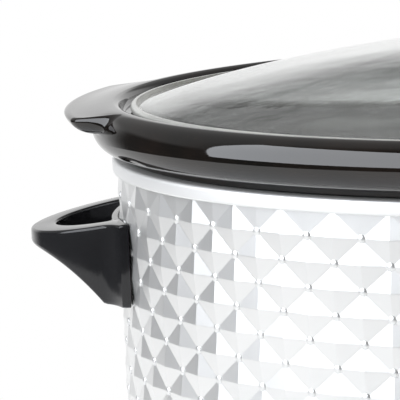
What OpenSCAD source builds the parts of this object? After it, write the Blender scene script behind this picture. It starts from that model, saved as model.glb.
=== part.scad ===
// Oval slow cooker: a heated base with an embossed metal wrap, a lift-out stoneware
// crock, a domed glass lid and one rotary control. Millimetres, +X to the cooker's
// right, front towards -Y, +Z up. The origin is under the middle of the feet.

/* [Housing] */
// Half the width of the wrap, measured at the studs
body_half_w = 165; // [140:1:190]
// Half the depth of the wrap, measured at the studs
body_half_d = 130; // [112:1:150]
// Thickness of the sheet metal wrap
shell_t = 1.2; // [0.8:0.1:1.6]
// Number of embossed cells around the wrap, an even number
cells = 48; // [36:4:60]
// Height between one row of studs and the next, staggered row
row_step = 8.3; // [7:0.1:9.5]
// Number of half cells down the wrap
rows = 18; // [14:1:20]
// Height of each embossed pyramid
pyramid_h = 0.9; // [0.4:0.1:1.4]
// Plain strip under the lowest row
plain_strip = 3; // [2:0.5:6]

/* [Rim band] */
// Height of the smooth band around the top
band_h = 4.9; // [4:0.1:7]
// How far the band stands out from the studs
band_out = 2.2; // [1.8:0.1:3.5]
// Thickness of the band
band_t = 1.4; // [1:0.1:1.6]
// How far the band reaches in over the wrap
band_in = 3; // [2:0.1:4]

/* [Base] */
// Height of the feet
foot_h = 8; // [7:0.5:14]
// Radius of a foot
foot_r = 11; // [8:0.5:14]
// Thickness of the base plate
base_t = 2.5; // [2:0.1:4]
// Height of the base plate's upstand inside the wrap
base_rim_h = 10; // [6:0.5:12]
// How far the feet stand in from the ends of the oval, as a shift of the oval
foot_inset = 38; // [30:1:50]

/* [Heating well] */
// Clear space between the studs and the well wall
well_in = 7; // [7:0.1:9]
// Thickness of the well's metal
well_t = 0.8; // [0.6:0.1:1.2]
// Height of the well floor above the base plate
well_rise = 37; // [35:1:50]
// Height of the heater band
heater_h = 30; // [20:1:45]
// Thickness of the heater band
heater_t = 1.5; // [1:0.1:2]
// Thickness of the insulation sleeve
insulation_t = 2.6; // [1.5:0.1:2.8]
// Clear height between the insulation's top and the handle screws
insulation_drop = 17; // [6:1:30]
// Radius of the centre stud
stud_r = 3; // [2.5:0.1:4]
// Drop from the well floor to the heat shield
shield_drop = 9; // [8:0.5:12]

/* [Crock] */
// Height of the crock's rounded rim
rim_h = 18.2; // [15:0.1:22]
// Height of the recessed neck under the rim's lobe
rim_neck = 2.4; // [2:0.1:4]
// How far the rim bulges out past its crest
rim_bulge = 7.2; // [5:0.1:9]
// How far the rim's crest stands out from the studs
rim_crest_out = 1.5; // [1:0.1:3]
// How far the end lugs reach out past the rim
lug_reach = 9; // [6:0.1:14]
// Half the length of a lug along the rim, with its run-out
lug_half = 44; // [36:1:60]
// Length over which each end of a lug runs out into the rim
lug_runout = 8; // [6:0.5:16]
// Thickness of a lug
lug_t = 5.3; // [4:0.1:6.5]
// Length of a lug's rounded nose
lug_nose = 4.6; // [3:0.1:6]
// Drop from the rim's crest to a lug's top
lug_drop = 0.7; // [0.3:0.1:1.2]
// Wall of the crock
crock_wall = 8; // [6:0.1:10]
// Floor of the crock
crock_floor = 7.5; // [6:0.1:10]
// Drop from the rim's crest to the lid seat
seat_drop = 4; // [3:0.1:6]
// Width of the lid seat
seat_w = 10.5; // [9:0.1:12]

/* [Lid] */
// Rise of the glass dome over its edge
dome_rise = 21.5; // [15:0.5:32]
// Thickness of the glass
glass_t = 4; // [3:0.1:5]
// Thickness of the lid's rolled edge
lid_edge_t = 3; // [2.5:0.1:4]
// Height of the lid knob
lid_knob_h = 26; // [20:0.5:32]
// Radius of the lid knob's grip
lid_knob_r = 23; // [18:0.5:28]

/* [Side handles] */
// Reach of a handle from the wrap
handle_reach = 32; // [27:0.5:40]
// Half the length of a handle along the wrap
handle_half = 33; // [29:0.5:40]
// Width of the handle's bar
bar_w = 8; // [7:0.1:10]
// Height of the bar at the tip
tip_h = 5.5; // [4:0.1:8]
// Height of the handle where it meets the wrap
handle_h = 28.4; // [26:0.1:36]
// Drop from the first row of studs to the handle's top
handle_drop = 6.5; // [6:0.1:12]
// Fall of the handle's top towards the tip
handle_fall = 6; // [3:0.1:8]
// Thickness of the mounting plate
plate_t = 2.2; // [1.5:0.1:4]

/* [Control] */
// Radius of the control knob
knob_r = 17; // [14:0.5:18]
// Depth of the control knob
knob_h = 15; // [12:0.5:20]
// Width of the control panel
panel_w = 78; // [60:1:96]
// Height of the control panel
panel_h = 40; // [37:0.5:42]
// Thickness of the control panel
panel_t = 2; // [1.5:0.1:3]
// Height of the control's axis above the wrap's lower edge
control_rise = 23; // [22:0.5:26]
// Radius of the switch shaft
shaft_r = 3; // [2.5:0.1:4]
// Radius of the hole in the cord gland
cord_hole_r = 3.6; // [3:0.1:4.5]

/* [Clearances] */
// Running and seating clearance between pieces
gap = 0.3; // [0.2:0.05:0.4]

/* [Hidden] */
$fn = 96;

oval_k = body_half_d / body_half_w;

// Heights, from the feet up
base_top = foot_h + base_t;
shell_low = base_top + gap;
first_row = shell_low + plain_strip + rows * row_step;
band_low = first_row + row_step - 0.5;
band_top = band_low + band_h;
shell_top = band_top - band_t - gap;
well_floor = base_top + well_rise;
rim_low = band_top + gap;
rim_top = rim_low + rim_h;
seat_z = rim_top - seat_drop;
crock_low = well_floor + well_t + 2;
lid_low = seat_z + gap;
dome_base = lid_low + lid_edge_t - 1.4;
dome_top = dome_base + dome_rise;
handle_top = first_row - handle_drop;
control_z = shell_low + control_rise;
heater_z = well_floor + 14;
shield_z = well_floor - shield_drop;
handle_screw_z = handle_top - 14;
seat_out = rim_crest_out - 3;

// Heat shield, terminal block, fasteners, stems and leads
shield_in = 46;
shield_t = 0.6;
block_x = 30;
block_y = 42;
block_w = 40;
block_d = 16;
block_h = 14;
screw_r = 1.7;
foot_stem_r = 3;
nut_h = 4;
lead_r = 1.3;
lead_sides = 8;
gland_r = 6.2;
lid_screw_r = 2.2;
washer_t = 1.5;
tight = 0.05;

// ---- The oval: points offset outwards from the ellipse through the studs ----

function oval_point(a, off = 0) =
    let (x = body_half_w * cos(a), y = body_half_d * sin(a),
         nx = x / pow(body_half_w, 2), ny = y / pow(body_half_d, 2), n = norm([nx, ny]))
    [x + off * nx / n, y + off * ny / n];

function oval_points(off, count) = [for (i = [0:count - 1]) oval_point(i * 360 / count, off)];

// Length along the ellipse against the angle, so that cells are equally long
arc_parts = 720;
arc_table = [for (i = 0, s = 0; i <= arc_parts;
                  s = s + norm(oval_point((i + 1) * 360 / arc_parts) - oval_point(i * 360 / arc_parts)),
                  i = i + 1)
             [s, i * 360 / arc_parts]];
arc_total = arc_table[arc_parts][0];
function angle_at(share) = lookup(share * arc_total, arc_table);

// A solid oval prism
module oval_prism(off, z0, z1, count = 144)
    translate([0, 0, z0]) linear_extrude(z1 - z0) polygon(oval_points(off, count));

// A ring swept around the oval from a closed profile of [offset from the studs, height],
// listed anticlockwise when the outside is on the right
module oval_ring(profile, count = 96) {
    m = len(profile);
    polyhedron(points = [for (p = profile) for (a = oval_points(p[0], count)) [a[0], a[1], p[1]]],
               faces = [for (r = [0:m - 1]) for (i = [0:count - 1])
                   let (s = (r + 1) % m, j = (i + 1) % count)
                   each [[r * count + i, s * count + i, s * count + j],
                         [r * count + i, s * count + j, r * count + j]]], convexity = 6);
}

// A straight oval wall between two offsets
module oval_wall(off_in, off_out, z0, z1, count = 96) difference() {
    oval_prism(off_out, z0, z1, count);
    oval_prism(off_in, z0 - 1, z1 + 1, count);
}

// Points along an arc, for the corners of a profile
function arc(cx, cy, r, a0, a1, steps) = [for (i = [0:steps])
    let (a = a0 + (a1 - a0) * i / steps) [cx + r * cos(a), cy + r * sin(a)]];

// Stands children on the wrap at an angle of the oval, +Z pointing outwards
module on_wall(a, off, z) {
    p = oval_point(a, off);
    n = oval_point(a, 1) - oval_point(a, 0);
    translate([p[0], p[1], z]) rotate([0, 0, atan2(n[1], n[0])]) rotate([0, 90, 0]) children();
}

// A skin of triangles through rings of n points, with both ends closed
function skin_faces(rings, n) = concat(
    [for (r = [0:rings - 2]) for (i = [0:n - 1])
        let (j = (i + 1) % n)
        each [[r * n + i, (r + 1) * n + i, (r + 1) * n + j], [r * n + i, (r + 1) * n + j, r * n + j]]],
    [[for (i = [0:n - 1]) i]], [[for (i = [0:n - 1]) rings * n - 1 - i]]);

// ---- Housing ----

columns = 2 * cells;
wrap_rows = rows + 2;
// A row's offset: studs lie on the oval, and between them stands a pyramid's top
function wrap_off(i, j) = j == 0 ? 0 : (i + j) % 2 == 1 ? 0 : pyramid_h;
function wrap_row(j) = [for (i = [0:columns - 1])
    concat(oval_point(angle_at(i / columns), wrap_off(i, j)), first_row + row_step - j * row_step)];
function plain_row(off, z) = [for (i = [0:columns - 1])
    concat(oval_point(angle_at(i / columns), off), z)];

// Each quad of half a cell is split along the valley that joins its two studs
function wrap_quad(i, j, base) =
    let (a = base + j * columns + i, b = base + j * columns + (i + 1) % columns,
         c = a + columns, d = b + columns)
    (i + j) % 2 == 1 ? [[a, b, d], [a, d, c]] : [[a, b, c], [b, d, c]];

module wrap_sheet() {
    top = plain_row(0, shell_top);
    low = plain_row(0, shell_low);
    in_low = plain_row(-shell_t, shell_low);
    in_top = plain_row(-shell_t, shell_top);
    embossed = [for (j = [0:wrap_rows - 1]) each wrap_row(j)];
    n = columns;
    last = n + wrap_rows * n;
    quads = concat(
        [for (i = [0:n - 1]) [i, (i + 1) % n, n + (i + 1) % n, n + i]],
        [for (r = [0:2]) for (i = [0:n - 1])
            [last - n * (r == 0 ? 1 : 0) + (r == 0 ? i : (r - 1) * n + i),
             last - n * (r == 0 ? 1 : 0) + (r == 0 ? (i + 1) % n : (r - 1) * n + (i + 1) % n),
             last + r * n + (i + 1) % n, last + r * n + i]],
        [for (i = [0:n - 1]) [last + 2 * n + i, last + 2 * n + (i + 1) % n, (i + 1) % n, i]]);
    tris = [for (j = [0:wrap_rows - 2]) for (i = [0:n - 1]) each wrap_quad(i, j, n)];
    polyhedron(points = concat(top, embossed, low, in_low, in_top),
               faces = concat(quads, tris), convexity = 6);
}

module housing_shell()
    color("silver") difference() {
        wrap_sheet();
        on_wall(270, -10, control_z) cylinder(r = shaft_r + 1, h = 20);
        for (s = [-1, 1]) translate([s * panel_screw_x, -body_half_d - 6, control_z])
            rotate([-90, 0, 0]) cylinder(r = screw_r + gap, h = 24);
        on_wall(90, -10, control_z) cylinder(r = gland_r + gap, h = 20);
        for (sx = [-1, 1]) for (sy = [-1, 1])
            translate([sx * (body_half_w - 20), sy * handle_screw_y, handle_screw_z])
                rotate([0, sx * 90, 0]) cylinder(r = screw_r + gap, h = 40);
    }

module rim_band()
    color("gainsboro") oval_ring(concat(
        [[-band_in, band_top - band_t], [gap, band_top - band_t], [gap, band_low]],
        arc(band_out - 0.9, band_low + 0.9, 0.9, -90, 0, 2),
        arc(band_out - 1.3, band_top - 1.3, 1.3, 0, 90, 3),
        [[-band_in, band_top]]));

module base_plate()
    color("black") difference() {
        union() {
            oval_prism(0.4, foot_h, base_top, 96);
            oval_wall(-shell_t - gap - 2, -shell_t - gap, base_top - 1, base_top + base_rim_h);
        }
        translate([0, 0, foot_h - 1]) cylinder(r = stud_r + gap, h = base_t + 2);
        foot_places() translate([0, 0, foot_h - 1]) cylinder(r = foot_stem_r + gap, h = base_t + 2);
    }

module foot_places()
    for (a = [40, 140, 220, 320]) {
        p = oval_point(a, -foot_inset);
        translate([p[0], p[1], 0]) children();
    }

module feet()
    color("dimgray") foot_places() {
        cylinder(r1 = foot_r - 1.5, r2 = foot_r, h = 3);
        translate([0, 0, 3]) cylinder(r = foot_r, h = foot_h - 3 - gap);
        cylinder(r = foot_stem_r, h = base_top + 2);
        translate([0, 0, base_top + gap]) cylinder(r = foot_stem_r + 1.5, h = 2);
    }

// ---- Heating well and what hangs under it ----

module inner_well()
    color("lightgray") {
        out = [[-well_in - 8, well_floor], [-well_in, well_floor + 8], [-well_in, shell_top - well_t],
               [-shell_t - gap - 0.1, shell_top - well_t], [-shell_t - gap - 0.1, shell_top],
               [-well_in - well_t, shell_top], [-well_in - well_t, well_floor + 8.4],
               [-well_in - 8.4, well_floor + well_t]];
        polyhedron(points = [for (p = out) for (a = oval_points(p[0], 96)) [a[0], a[1], p[1]]],
                   faces = skin_faces(len(out), 96), convexity = 6);
    }

// The heater, with two tabs at the back for its leads
tab_x = 14;
tab_low = well_floor + 2.5;
module heater_band()
    color("peru") intersection() {
        oval_wall(-well_in + gap, -well_in + gap + heater_t, tab_low, heater_z + heater_h);
        union() {
            translate([-body_half_w, -body_half_d, heater_z])
                cube([2 * body_half_w, 2 * body_half_d, heater_h]);
            for (s = [-1, 1]) translate([s * tab_x - 3, body_half_d - 20, tab_low])
                cube([6, 20, heater_h]);
        }
    }

module insulation_sleeve()
    color("white") oval_wall(-shell_t - gap - insulation_t, -shell_t - gap,
                             heater_z - 2, handle_screw_z - insulation_drop);

module heat_shield()
    color("silver") difference() {
        union() {
            oval_prism(-shield_in, shield_z, shield_z + shield_t, 96);
            oval_wall(-shield_in - shield_t, -shield_in, shield_z, shield_z + 4);
        }
        translate([0, 0, shield_z - 1]) cylinder(r = stud_r + gap, h = 3);
    }

module centre_stud()
    color("silver") {
        translate([0, 0, foot_h - gap - 1 - nut_h - 1])
            cylinder(r = stud_r, h = well_floor - foot_h + nut_h + 2);
        translate([0, 0, well_floor - 1.5 - gap]) cylinder(r = stud_r + 4, h = 1.5);
    }

module stud_spacers()
    color("gray") {
        spacer(base_top + gap, shield_z - gap);
        spacer(shield_z + shield_t + gap, well_floor - 1.5 - 2 * gap);
    }
module spacer(z0, z1)
    translate([0, 0, z0]) difference() {
        cylinder(r = stud_r + 2.5, h = z1 - z0);
        translate([0, 0, -1]) cylinder(r = stud_r + gap, h = z1 - z0 + 2);
    }

module centre_nut()
    color("silver") difference() {
        union() {
            translate([0, 0, foot_h - gap - 1]) cylinder(r = stud_r + 6, h = 1);
            translate([0, 0, foot_h - gap - 1 - nut_h]) cylinder(r = stud_r + 2.8, h = nut_h, $fn = 6);
        }
        translate([0, 0, foot_h - nut_h - 4]) cylinder(r = stud_r + tight, h = nut_h + 6);
    }

block_pitch = block_w * 0.3;
module terminal_block()
    color("ivory") translate([block_x, block_y, base_top + gap]) difference() {
        translate([-block_w / 2, -block_d / 2, 0]) cube([block_w, block_d, block_h]);
        for (x = [-block_pitch, 0, block_pitch]) {
            translate([x, -block_d / 2 - 1, block_h - 6]) rotate([-90, 0, 0])
                cylinder(r = lead_r + 0.9, h = block_d + 2);
            translate([x, 0, block_h - 4]) cylinder(r = lead_r + 0.5, h = 5);
        }
    }

fuse_x = -40;
module thermal_fuse()
    color("whitesmoke") translate([fuse_x - 9, 0, fuse_z]) rotate([0, 90, 0]) {
        cylinder(r = 2.2, h = 18);
        translate([0, 0, -6]) cylinder(r = 0.6, h = 30);
    }

module fuse_clip()
    color("silver") translate([fuse_x - 4, 0, 0]) difference() {
        union() {
            translate([0, -9, well_floor - gap - 1]) cube([8, 18, 1]);
            translate([0, 0, fuse_z]) rotate([0, 90, 0]) cylinder(r = 3.4, h = 8);
        }
        translate([-1, 0, fuse_z]) rotate([0, 90, 0]) cylinder(r = 2.2 + gap, h = 10);
        translate([-1, -10, well_floor - gap]) cube([10, 20, 5]);
    }

// Insulated leads, swept along their own points
function unit(v) = v / norm(v);
function lead_dir(path, i) = unit(
    (i == 0 ? [0, 0, 0] : unit(path[i] - path[i - 1])) +
    (i == len(path) - 1 ? [0, 0, 0] : unit(path[i + 1] - path[i])));
module lead(path) {
    rings = [for (i = [0:len(path) - 1])
        let (d = lead_dir(path, i), u = unit(cross(d, [0.3, 0.1, 1])), v = cross(d, u))
        [for (k = [0:lead_sides - 1]) let (a = k * 360 / lead_sides)
            path[i] + lead_r * (cos(a) * u + sin(a) * v)]];
    polyhedron(points = [for (r = rings) each r], faces = skin_faces(len(path), lead_sides));
}

block_hole_z = base_top + gap + block_h - 6;
fuse_z = well_floor - 4;
under_well = well_floor - 2.5;
tab_y = body_half_d - 5.9;
module inner_leads()
    color("white") {
        // block to the switch
        lead([[block_x, block_y - 6, block_hole_z], [block_x, -block_y, block_hole_z],
              [5, switch_back + 8, control_z - 4],
              [5, switch_back - 3, control_z - 4]]);
        // fuse to the switch
        lead([[fuse_x - 15.3, 0, fuse_z], [fuse_x - 18, 0, fuse_z], [fuse_x - 24, -20, under_well],
              [-20, -body_half_d + 35, under_well],
              [-5, switch_back + 6, control_z + 4], [-5, switch_back - 3, control_z + 4]]);
        // fuse to the heater
        lead([[fuse_x + 15.3, 0, fuse_z], [fuse_x + 18, 0, fuse_z], [10, 30, under_well],
              [tab_x, body_half_d - 22, under_well],
              [tab_x, tab_y, tab_low - 2.6], [tab_x, tab_y, tab_low - gap]]);
        // block to the heater
        lead([[block_x - block_pitch, block_y + 4, block_hole_z],
              [block_x - block_pitch, body_half_d - 34, block_hole_z],
              [-tab_x, body_half_d - 18, well_floor - 16],
              [-tab_x, tab_y, tab_low - 6], [-tab_x, tab_y, tab_low - gap]]);
    }

// ---- Side handles ----

loop_x = body_half_w - 1;
loop_r = handle_reach + 1;
handle_screw_y = handle_half - bar_w / 2;
handle_screw_in = 8;
handle_off = pyramid_h + gap;

// Heights of the handle's top and underside at a distance out from the oval's end
function top_at(x) = handle_top - handle_fall * min(1, max(0, (x - loop_x + 5) / (handle_reach + 5)));
function low_at(x) =
    let (u = min(1, max(0, (x - loop_x - 4.5) / (loop_r - 4.5))))
    handle_top - handle_h + (handle_h - handle_fall - tip_h) * (1 - pow(1 - u, 1.9));

// One section of the bar, a rectangle with rounded corners
function bar_section(f) =
    let (ex = loop_r, ey = handle_half, w = bar_w, c = 1.8,
         pts = [for (k = [0:3]) for (m = [0:3])
                    let (a = k * 90 + m * 30,
                         cu = (k == 0 || k == 3) ? 1 : 0, cv = (k == 0 || k == 1) ? 1 : 0)
                    [cu, cv, c * cos(a), c * sin(a)]])
    [for (p = pts)
        let (inset = p[0] == 1 ? -c : -w + c,
             rx = ex + inset + p[2], ry = ey + inset + p[2],
             x = loop_x + rx * cos(f), y = ry * sin(f),
             xm = loop_x + ex * cos(f),
             z = p[1] == 1 ? top_at(x) - c + p[3] : low_at(xm) + c + p[3])
        [x, y, z]];

module bar_loop() {
    steps = 36;
    n = 16;
    sections = [for (i = [0:steps]) bar_section(-106 + i * 212 / steps)];
    polyhedron(points = [for (s = sections) each s],
               faces = concat(
                   [for (i = [0:steps - 1]) for (k = [0:n - 1])
                       each [[i * n + k, i * n + (k + 1) % n, (i + 1) * n + k],
                             [i * n + (k + 1) % n, (i + 1) * n + (k + 1) % n, (i + 1) * n + k]]],
                   [[for (k = [0:n - 1]) n - 1 - k]],
                   [[for (k = [0:n - 1]) steps * n + k]]), convexity = 6);
}

module side_handle()
    color("black") difference() {
        union() {
            bar_loop();
            intersection() {
                oval_prism(handle_off + plate_t, handle_top - handle_h - 1, handle_top - 0.6);
                translate([body_half_w * 0.8, -handle_half + 2, handle_top - handle_h])
                    cube([60, 2 * handle_half - 4, handle_h - 0.6]);
            }
        }
        oval_prism(handle_off, handle_top - handle_h - 30, handle_top + 20);
        for (s = [-1, 1]) translate([body_half_w - 10, s * handle_screw_y, handle_screw_z])
            rotate([0, 90, 0]) cylinder(r = screw_r, h = 10 + handle_screw_in + gap);
    }

module handle_right() side_handle();
module handle_left() mirror([1, 0, 0]) side_handle();

module handle_screws()
    color("silver") for (sx = [-1, 1]) for (sy = [-1, 1]) {
        inner = oval_inner_x(handle_screw_y + 3.6) - gap;
        translate([sx * inner, sy * handle_screw_y, handle_screw_z]) rotate([0, sx * 90, 0]) {
            translate([0, 0, -1.6]) cylinder(r = 3.4, h = 1.6);
            translate([0, 0, -0.1]) cylinder(r = screw_r - tight, h = body_half_w + handle_screw_in - inner);
        }
    }
// Where the wrap's inner face lies at a distance from the long axis
function oval_inner_x(y) = (body_half_w - shell_t) * sqrt(1 - pow(y / (body_half_d - shell_t), 2));

// ---- Control ----

panel_screw_x = panel_w / 2 - 9;
panel_off = pyramid_h + gap;
panel_face = body_half_d + panel_off + panel_t;
module control_panel()
    color("black") difference() {
        intersection() {
            difference() {
                oval_prism(panel_off + panel_t, control_z - panel_h / 2 - 2, control_z + panel_h / 2 + 2);
                oval_prism(panel_off, 0, control_z + panel_h);
            }
            translate([0, -body_half_d + 20, control_z]) rotate([90, 0, 0]) linear_extrude(50) hull()
                for (sx = [-1, 1]) for (sz = [-1, 1])
                    translate([sx * (panel_w / 2 - 10), sz * (panel_h / 2 - 10)]) circle(r = 10);
        }
        translate([0, -body_half_d + 5, control_z]) rotate([90, 0, 0]) cylinder(r = shaft_r + 1, h = 30);
        for (s = [-1, 1]) translate([s * panel_screw_x, -body_half_d + 5, control_z])
            rotate([90, 0, 0]) cylinder(r = screw_r, h = 5 + oval_y_drop(panel_screw_x));
    }
// How far a panel screw reaches, so that it stops inside the panel
function oval_y_drop(x) = body_half_d * (sqrt(1 - pow(x / body_half_w, 2)) - 1) + panel_off + panel_t - 0.6;

module panel_screws()
    color("silver") for (s = [-1, 1]) {
        wall_y = sqrt(1 - pow((panel_screw_x + 3.2) / (body_half_w - shell_t), 2));
        y_in = (body_half_d - shell_t) * wall_y - gap;
        translate([s * panel_screw_x, -y_in, control_z]) rotate([90, 0, 0]) {
            translate([0, 0, -1.6]) cylinder(r = 3, h = 1.6);
            translate([0, 0, -0.1]) cylinder(r = screw_r - tight,
                h = body_half_d + oval_y_drop(panel_screw_x) - y_in - 0.2);
        }
    }

switch_front = -(body_half_d - shell_t - 1.2);
switch_back = switch_front + 20;
module switch_body()
    color("ivory") difference() {
        translate([-12, switch_front, control_z - 11]) cube([24, 20, 20]);
        translate([0, switch_front - 1, control_z]) rotate([-90, 0, 0]) cylinder(r = shaft_r + tight, h = 15);
        for (p = [[5, -4], [-5, 4]]) translate([p[0], switch_back - 5, control_z + p[1]])
            rotate([-90, 0, 0]) cylinder(r = lead_r + 0.2, h = 6);
    }

shaft_out = 11;
flat_from = 2;
module switch_shaft()
    color("silver") difference() {
        translate([0, switch_front + 13.5, control_z]) rotate([90, 0, 0])
            cylinder(r = shaft_r, h = panel_face + switch_front + 13.5 + shaft_out);
        translate([-shaft_r, -panel_face - shaft_out - 1, control_z + shaft_r * 0.5])
            cube([2 * shaft_r, shaft_out + 1 - flat_from, shaft_r]);
    }

module control_knob()
    color("black") translate([0, -panel_face - gap, control_z]) rotate([90, 0, 0]) difference() {
        union() {
            cylinder(r = knob_r, h = knob_h * 0.35);
            translate([0, 0, knob_h * 0.35]) cylinder(r1 = knob_r, r2 = knob_r - 1.5, h = 1.5);
            translate([0, 0, knob_h * 0.35]) cylinder(r = knob_r - 3, h = knob_h * 0.5);
            hull() for (s = [-1, 1]) translate([0, s * (knob_r - 4.5), knob_h * 0.3])
                cylinder(r = 3.4, h = knob_h * 0.7, $fn = 32);
        }
        difference() {
            translate([0, 0, -1]) cylinder(r = shaft_r + tight, h = shaft_out + 1.2);
            translate([-shaft_r - 1, shaft_r * 0.5 + tight, flat_from])
                cube([2 * shaft_r + 2, shaft_r, shaft_out]);
        }
        translate([-0.9, knob_r - 10, knob_h - 0.8]) cube([1.8, 8, 2]);
    }

module knob_pointer()
    color("white") translate([-0.8, -panel_face - gap - knob_h, control_z + knob_r - 9.9])
        cube([1.6, 0.7, 7.8]);

module cord_gland()
    color("black") on_wall(90, 0, control_z) difference() {
        union() {
            translate([0, 0, -shell_t - 6]) cylinder(r = gland_r, h = shell_t + 9);
            translate([0, 0, pyramid_h + gap]) cylinder(r = gland_r + 3.5, h = 3);
            translate([0, 0, -shell_t - gap - 3.4]) cylinder(r = gland_r + 2, h = 3);
        }
        translate([0, 0, -20]) cylinder(r = cord_hole_r, h = 40);
    }

// ---- Crock ----

crock_n = 104;
// How much of a lug stands at an angle of the oval: 1 at the ends, 0 past its run-out
function lug_share(a) =
    let (u = min(1, max(0, (lug_half - body_half_d * abs(sin(a))) / lug_runout)))
    u * u * (3 - 2 * u);

neck_in = well_in + well_t + 1.6;
in_top = neck_in + crock_wall;
lobe_low = rim_low + rim_neck;
lobe_mid = (lobe_low + rim_top) / 2;
lobe_half = (rim_top - lobe_low) / 2;

// The rim's section at an angle v around its lobe, as [offset, height]
function rim_at(v) = [rim_crest_out + rim_bulge * cos(v), lobe_mid + lobe_half * sin(v)];
// A lug's section: a flat underside, a rounded nose, and a top that runs up to the crest
lug_mid = rim_top - lug_drop - lug_t / 2;
lug_nose_from = rim_crest_out + rim_bulge + lug_reach - lug_nose;
function lug_at(v) =
    v <= 0 || v >= 90 ? rim_at(v) :
    let (turn = min(90, max(-90, 3 * (v - 45))))
    [lug_nose_from + lug_nose * cos(turn), lug_mid + lug_t / 2 * sin(turn)];

// Profile from the floor's middle outwards, as [offset, height]
crock_outside = [
    [-neck_in - 34, crock_low], [-neck_in - 18, crock_low + 2],
    [-neck_in - 9, crock_low + 8], [-neck_in - 5, crock_low + 20],
    [-neck_in, rim_low - 6], [-neck_in + 1, rim_low],
    [0.8, rim_low], [0.8, lobe_low + 0.1]];
crock_inside = [
    [rim_crest_out - 1.6, rim_top - 0.5], [rim_crest_out - 2.6, rim_top - 1.8],
    [seat_out, seat_z], [seat_out - seat_w, seat_z],
    [-in_top + 2, seat_z - 2], [-in_top - 1, seat_z - 12],
    [-in_top - 5, crock_low + crock_floor + 22], [-in_top - 9, crock_low + crock_floor + 9],
    [-in_top - 17, crock_low + crock_floor + 2], [-in_top - 32, crock_low + crock_floor]];
// The same profile with each point's shift where a lug stands
function no_shift(profile) = [for (p = profile) [p, [0, 0]]];
crock_profile = concat(
    no_shift(crock_outside),
    [for (v = [-75:15:90]) [rim_at(v), lug_at(v) - rim_at(v)]],
    no_shift(crock_inside));

module crock() {
    n = crock_n;
    m = len(crock_profile);
    points = [for (p = crock_profile) for (i = [0:n - 1])
        let (a = i * 360 / n, at = p[0] + p[1] * lug_share(a))
        concat(oval_point(a, at[0]), at[1])];
    color([0.06, 0.05, 0.04]) polyhedron(points = points,
        faces = skin_faces(m, n), convexity = 8);
}

// ---- Lid ----

// The rolled edge lies 3.2 inside the seat's wall and 2.4 out from the dome
dome_half = body_half_w + seat_out - 3.2 - 2.4;
dome_r = (pow(dome_half, 2) + pow(dome_rise, 2)) / (2 * dome_rise);
lid_n = 96;
function dome_point(r, x) = [x, dome_top - dome_r + sqrt(r * r - x * x)];
// Profile as [half width, height], from the middle of the inside out and back over the top
lid_profile = concat(
    [for (u = [0.06, 0.3, 0.5, 0.7, 0.86, 1]) dome_point(dome_r - glass_t, (dome_half - 10) * u)],
    [[dome_half - 6, lid_low]],
    arc(dome_half + 2.4 - 1.5, lid_low + 1.5, 1.5, -90, 0, 2),
    arc(dome_half + 2.4 - 1.5, lid_low + lid_edge_t - 1.5, 1.5, 0, 110, 3),
    [for (u = [1, 0.93, 0.83, 0.7, 0.55, 0.4, 0.22, 0.06]) dome_point(dome_r, dome_half * u)]);
module lid_glass()
    color([0.8, 0.85, 0.85, 0.5]) difference() {
        polyhedron(points = [for (p = lid_profile) for (i = [0:lid_n - 1])
                       let (a = i * 360 / lid_n) [p[0] * cos(a), p[0] * oval_k * sin(a), p[1]]],
                   faces = skin_faces(len(lid_profile), lid_n), convexity = 6);
        translate([0, 0, dome_top - glass_t - 5]) cylinder(r = lid_screw_r + 0.8, h = 20);
    }

knob_low = dome_top + gap + washer_t + gap;
module lid_knob()
    color("black") translate([0, 0, knob_low]) difference() {
        rotate_extrude() polygon(concat([[0, 0], [15, 0]],
            [for (i = [0:12]) let (u = i / 12)
                [15 - 4.5 * sin(180 * min(1, u * 1.2)) * (1 - u) + (lid_knob_r - 15) * pow(u, 2.2),
                 1.5 + (lid_knob_h - 7.5) * u]],
            [for (v = [15:15:90]) [lid_knob_r - 2.5 + 2.5 * cos(v), lid_knob_h - 6 + 2.5 * sin(v)]],
            [for (u = [0.8, 0.5, 0.25, 0]) [(lid_knob_r - 2.5) * u, lid_knob_h - 3.5 + 3.5 * (1 - u * u)]]));
        translate([0, 0, -1]) cylinder(r = lid_screw_r, h = 13);
    }

module knob_washer()
    color("dimgray") translate([0, 0, dome_top + gap]) difference() {
        cylinder(r = 13, h = washer_t);
        translate([0, 0, -1]) cylinder(r = lid_screw_r + gap, h = washer_t + 2);
    }

dome_under = dome_top - glass_t;
module screw_washer()
    color("silver") translate([0, 0, dome_under - gap - 1]) difference() {
        cylinder(r = 8, h = 1);
        translate([0, 0, -1]) cylinder(r = lid_screw_r + gap, h = 3);
    }

module lid_screw()
    color("silver") {
        translate([0, 0, dome_under - 2 * gap - 1 - 2.6]) cylinder(r = 4.4, h = 2.6);
        translate([0, 0, dome_under - 2 * gap - 1 - 0.1])
            cylinder(r = lid_screw_r - tight, h = knob_low + 11 - dome_under + 2 * gap + 1);
    }

housing_shell();
rim_band();
base_plate();
feet();
inner_well();
heater_band();
insulation_sleeve();
heat_shield();
centre_stud();
stud_spacers();
centre_nut();
handle_left();
handle_right();
handle_screws();
control_panel();
panel_screws();
switch_body();
switch_shaft();
control_knob();
knob_pointer();
terminal_block();
thermal_fuse();
fuse_clip();
inner_leads();
cord_gland();
crock();
lid_glass();
lid_knob();
knob_washer();
lid_screw();
screw_washer();
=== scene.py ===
# %% [markdown]
# # An oval slow cooker, dressed
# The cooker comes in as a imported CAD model: one object per piece, in metres, with the feet
# standing on z = 0 and the control facing -Y. The CAD pieces carry the sizes. This script
# gives them their looks: it models the visible skins again with rounded edges, and gives
# every piece a finish of its own.

# %% Load the frame
import math

import bmesh
import bpy
import numpy as np
from mathutils import Matrix, Vector


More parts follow.
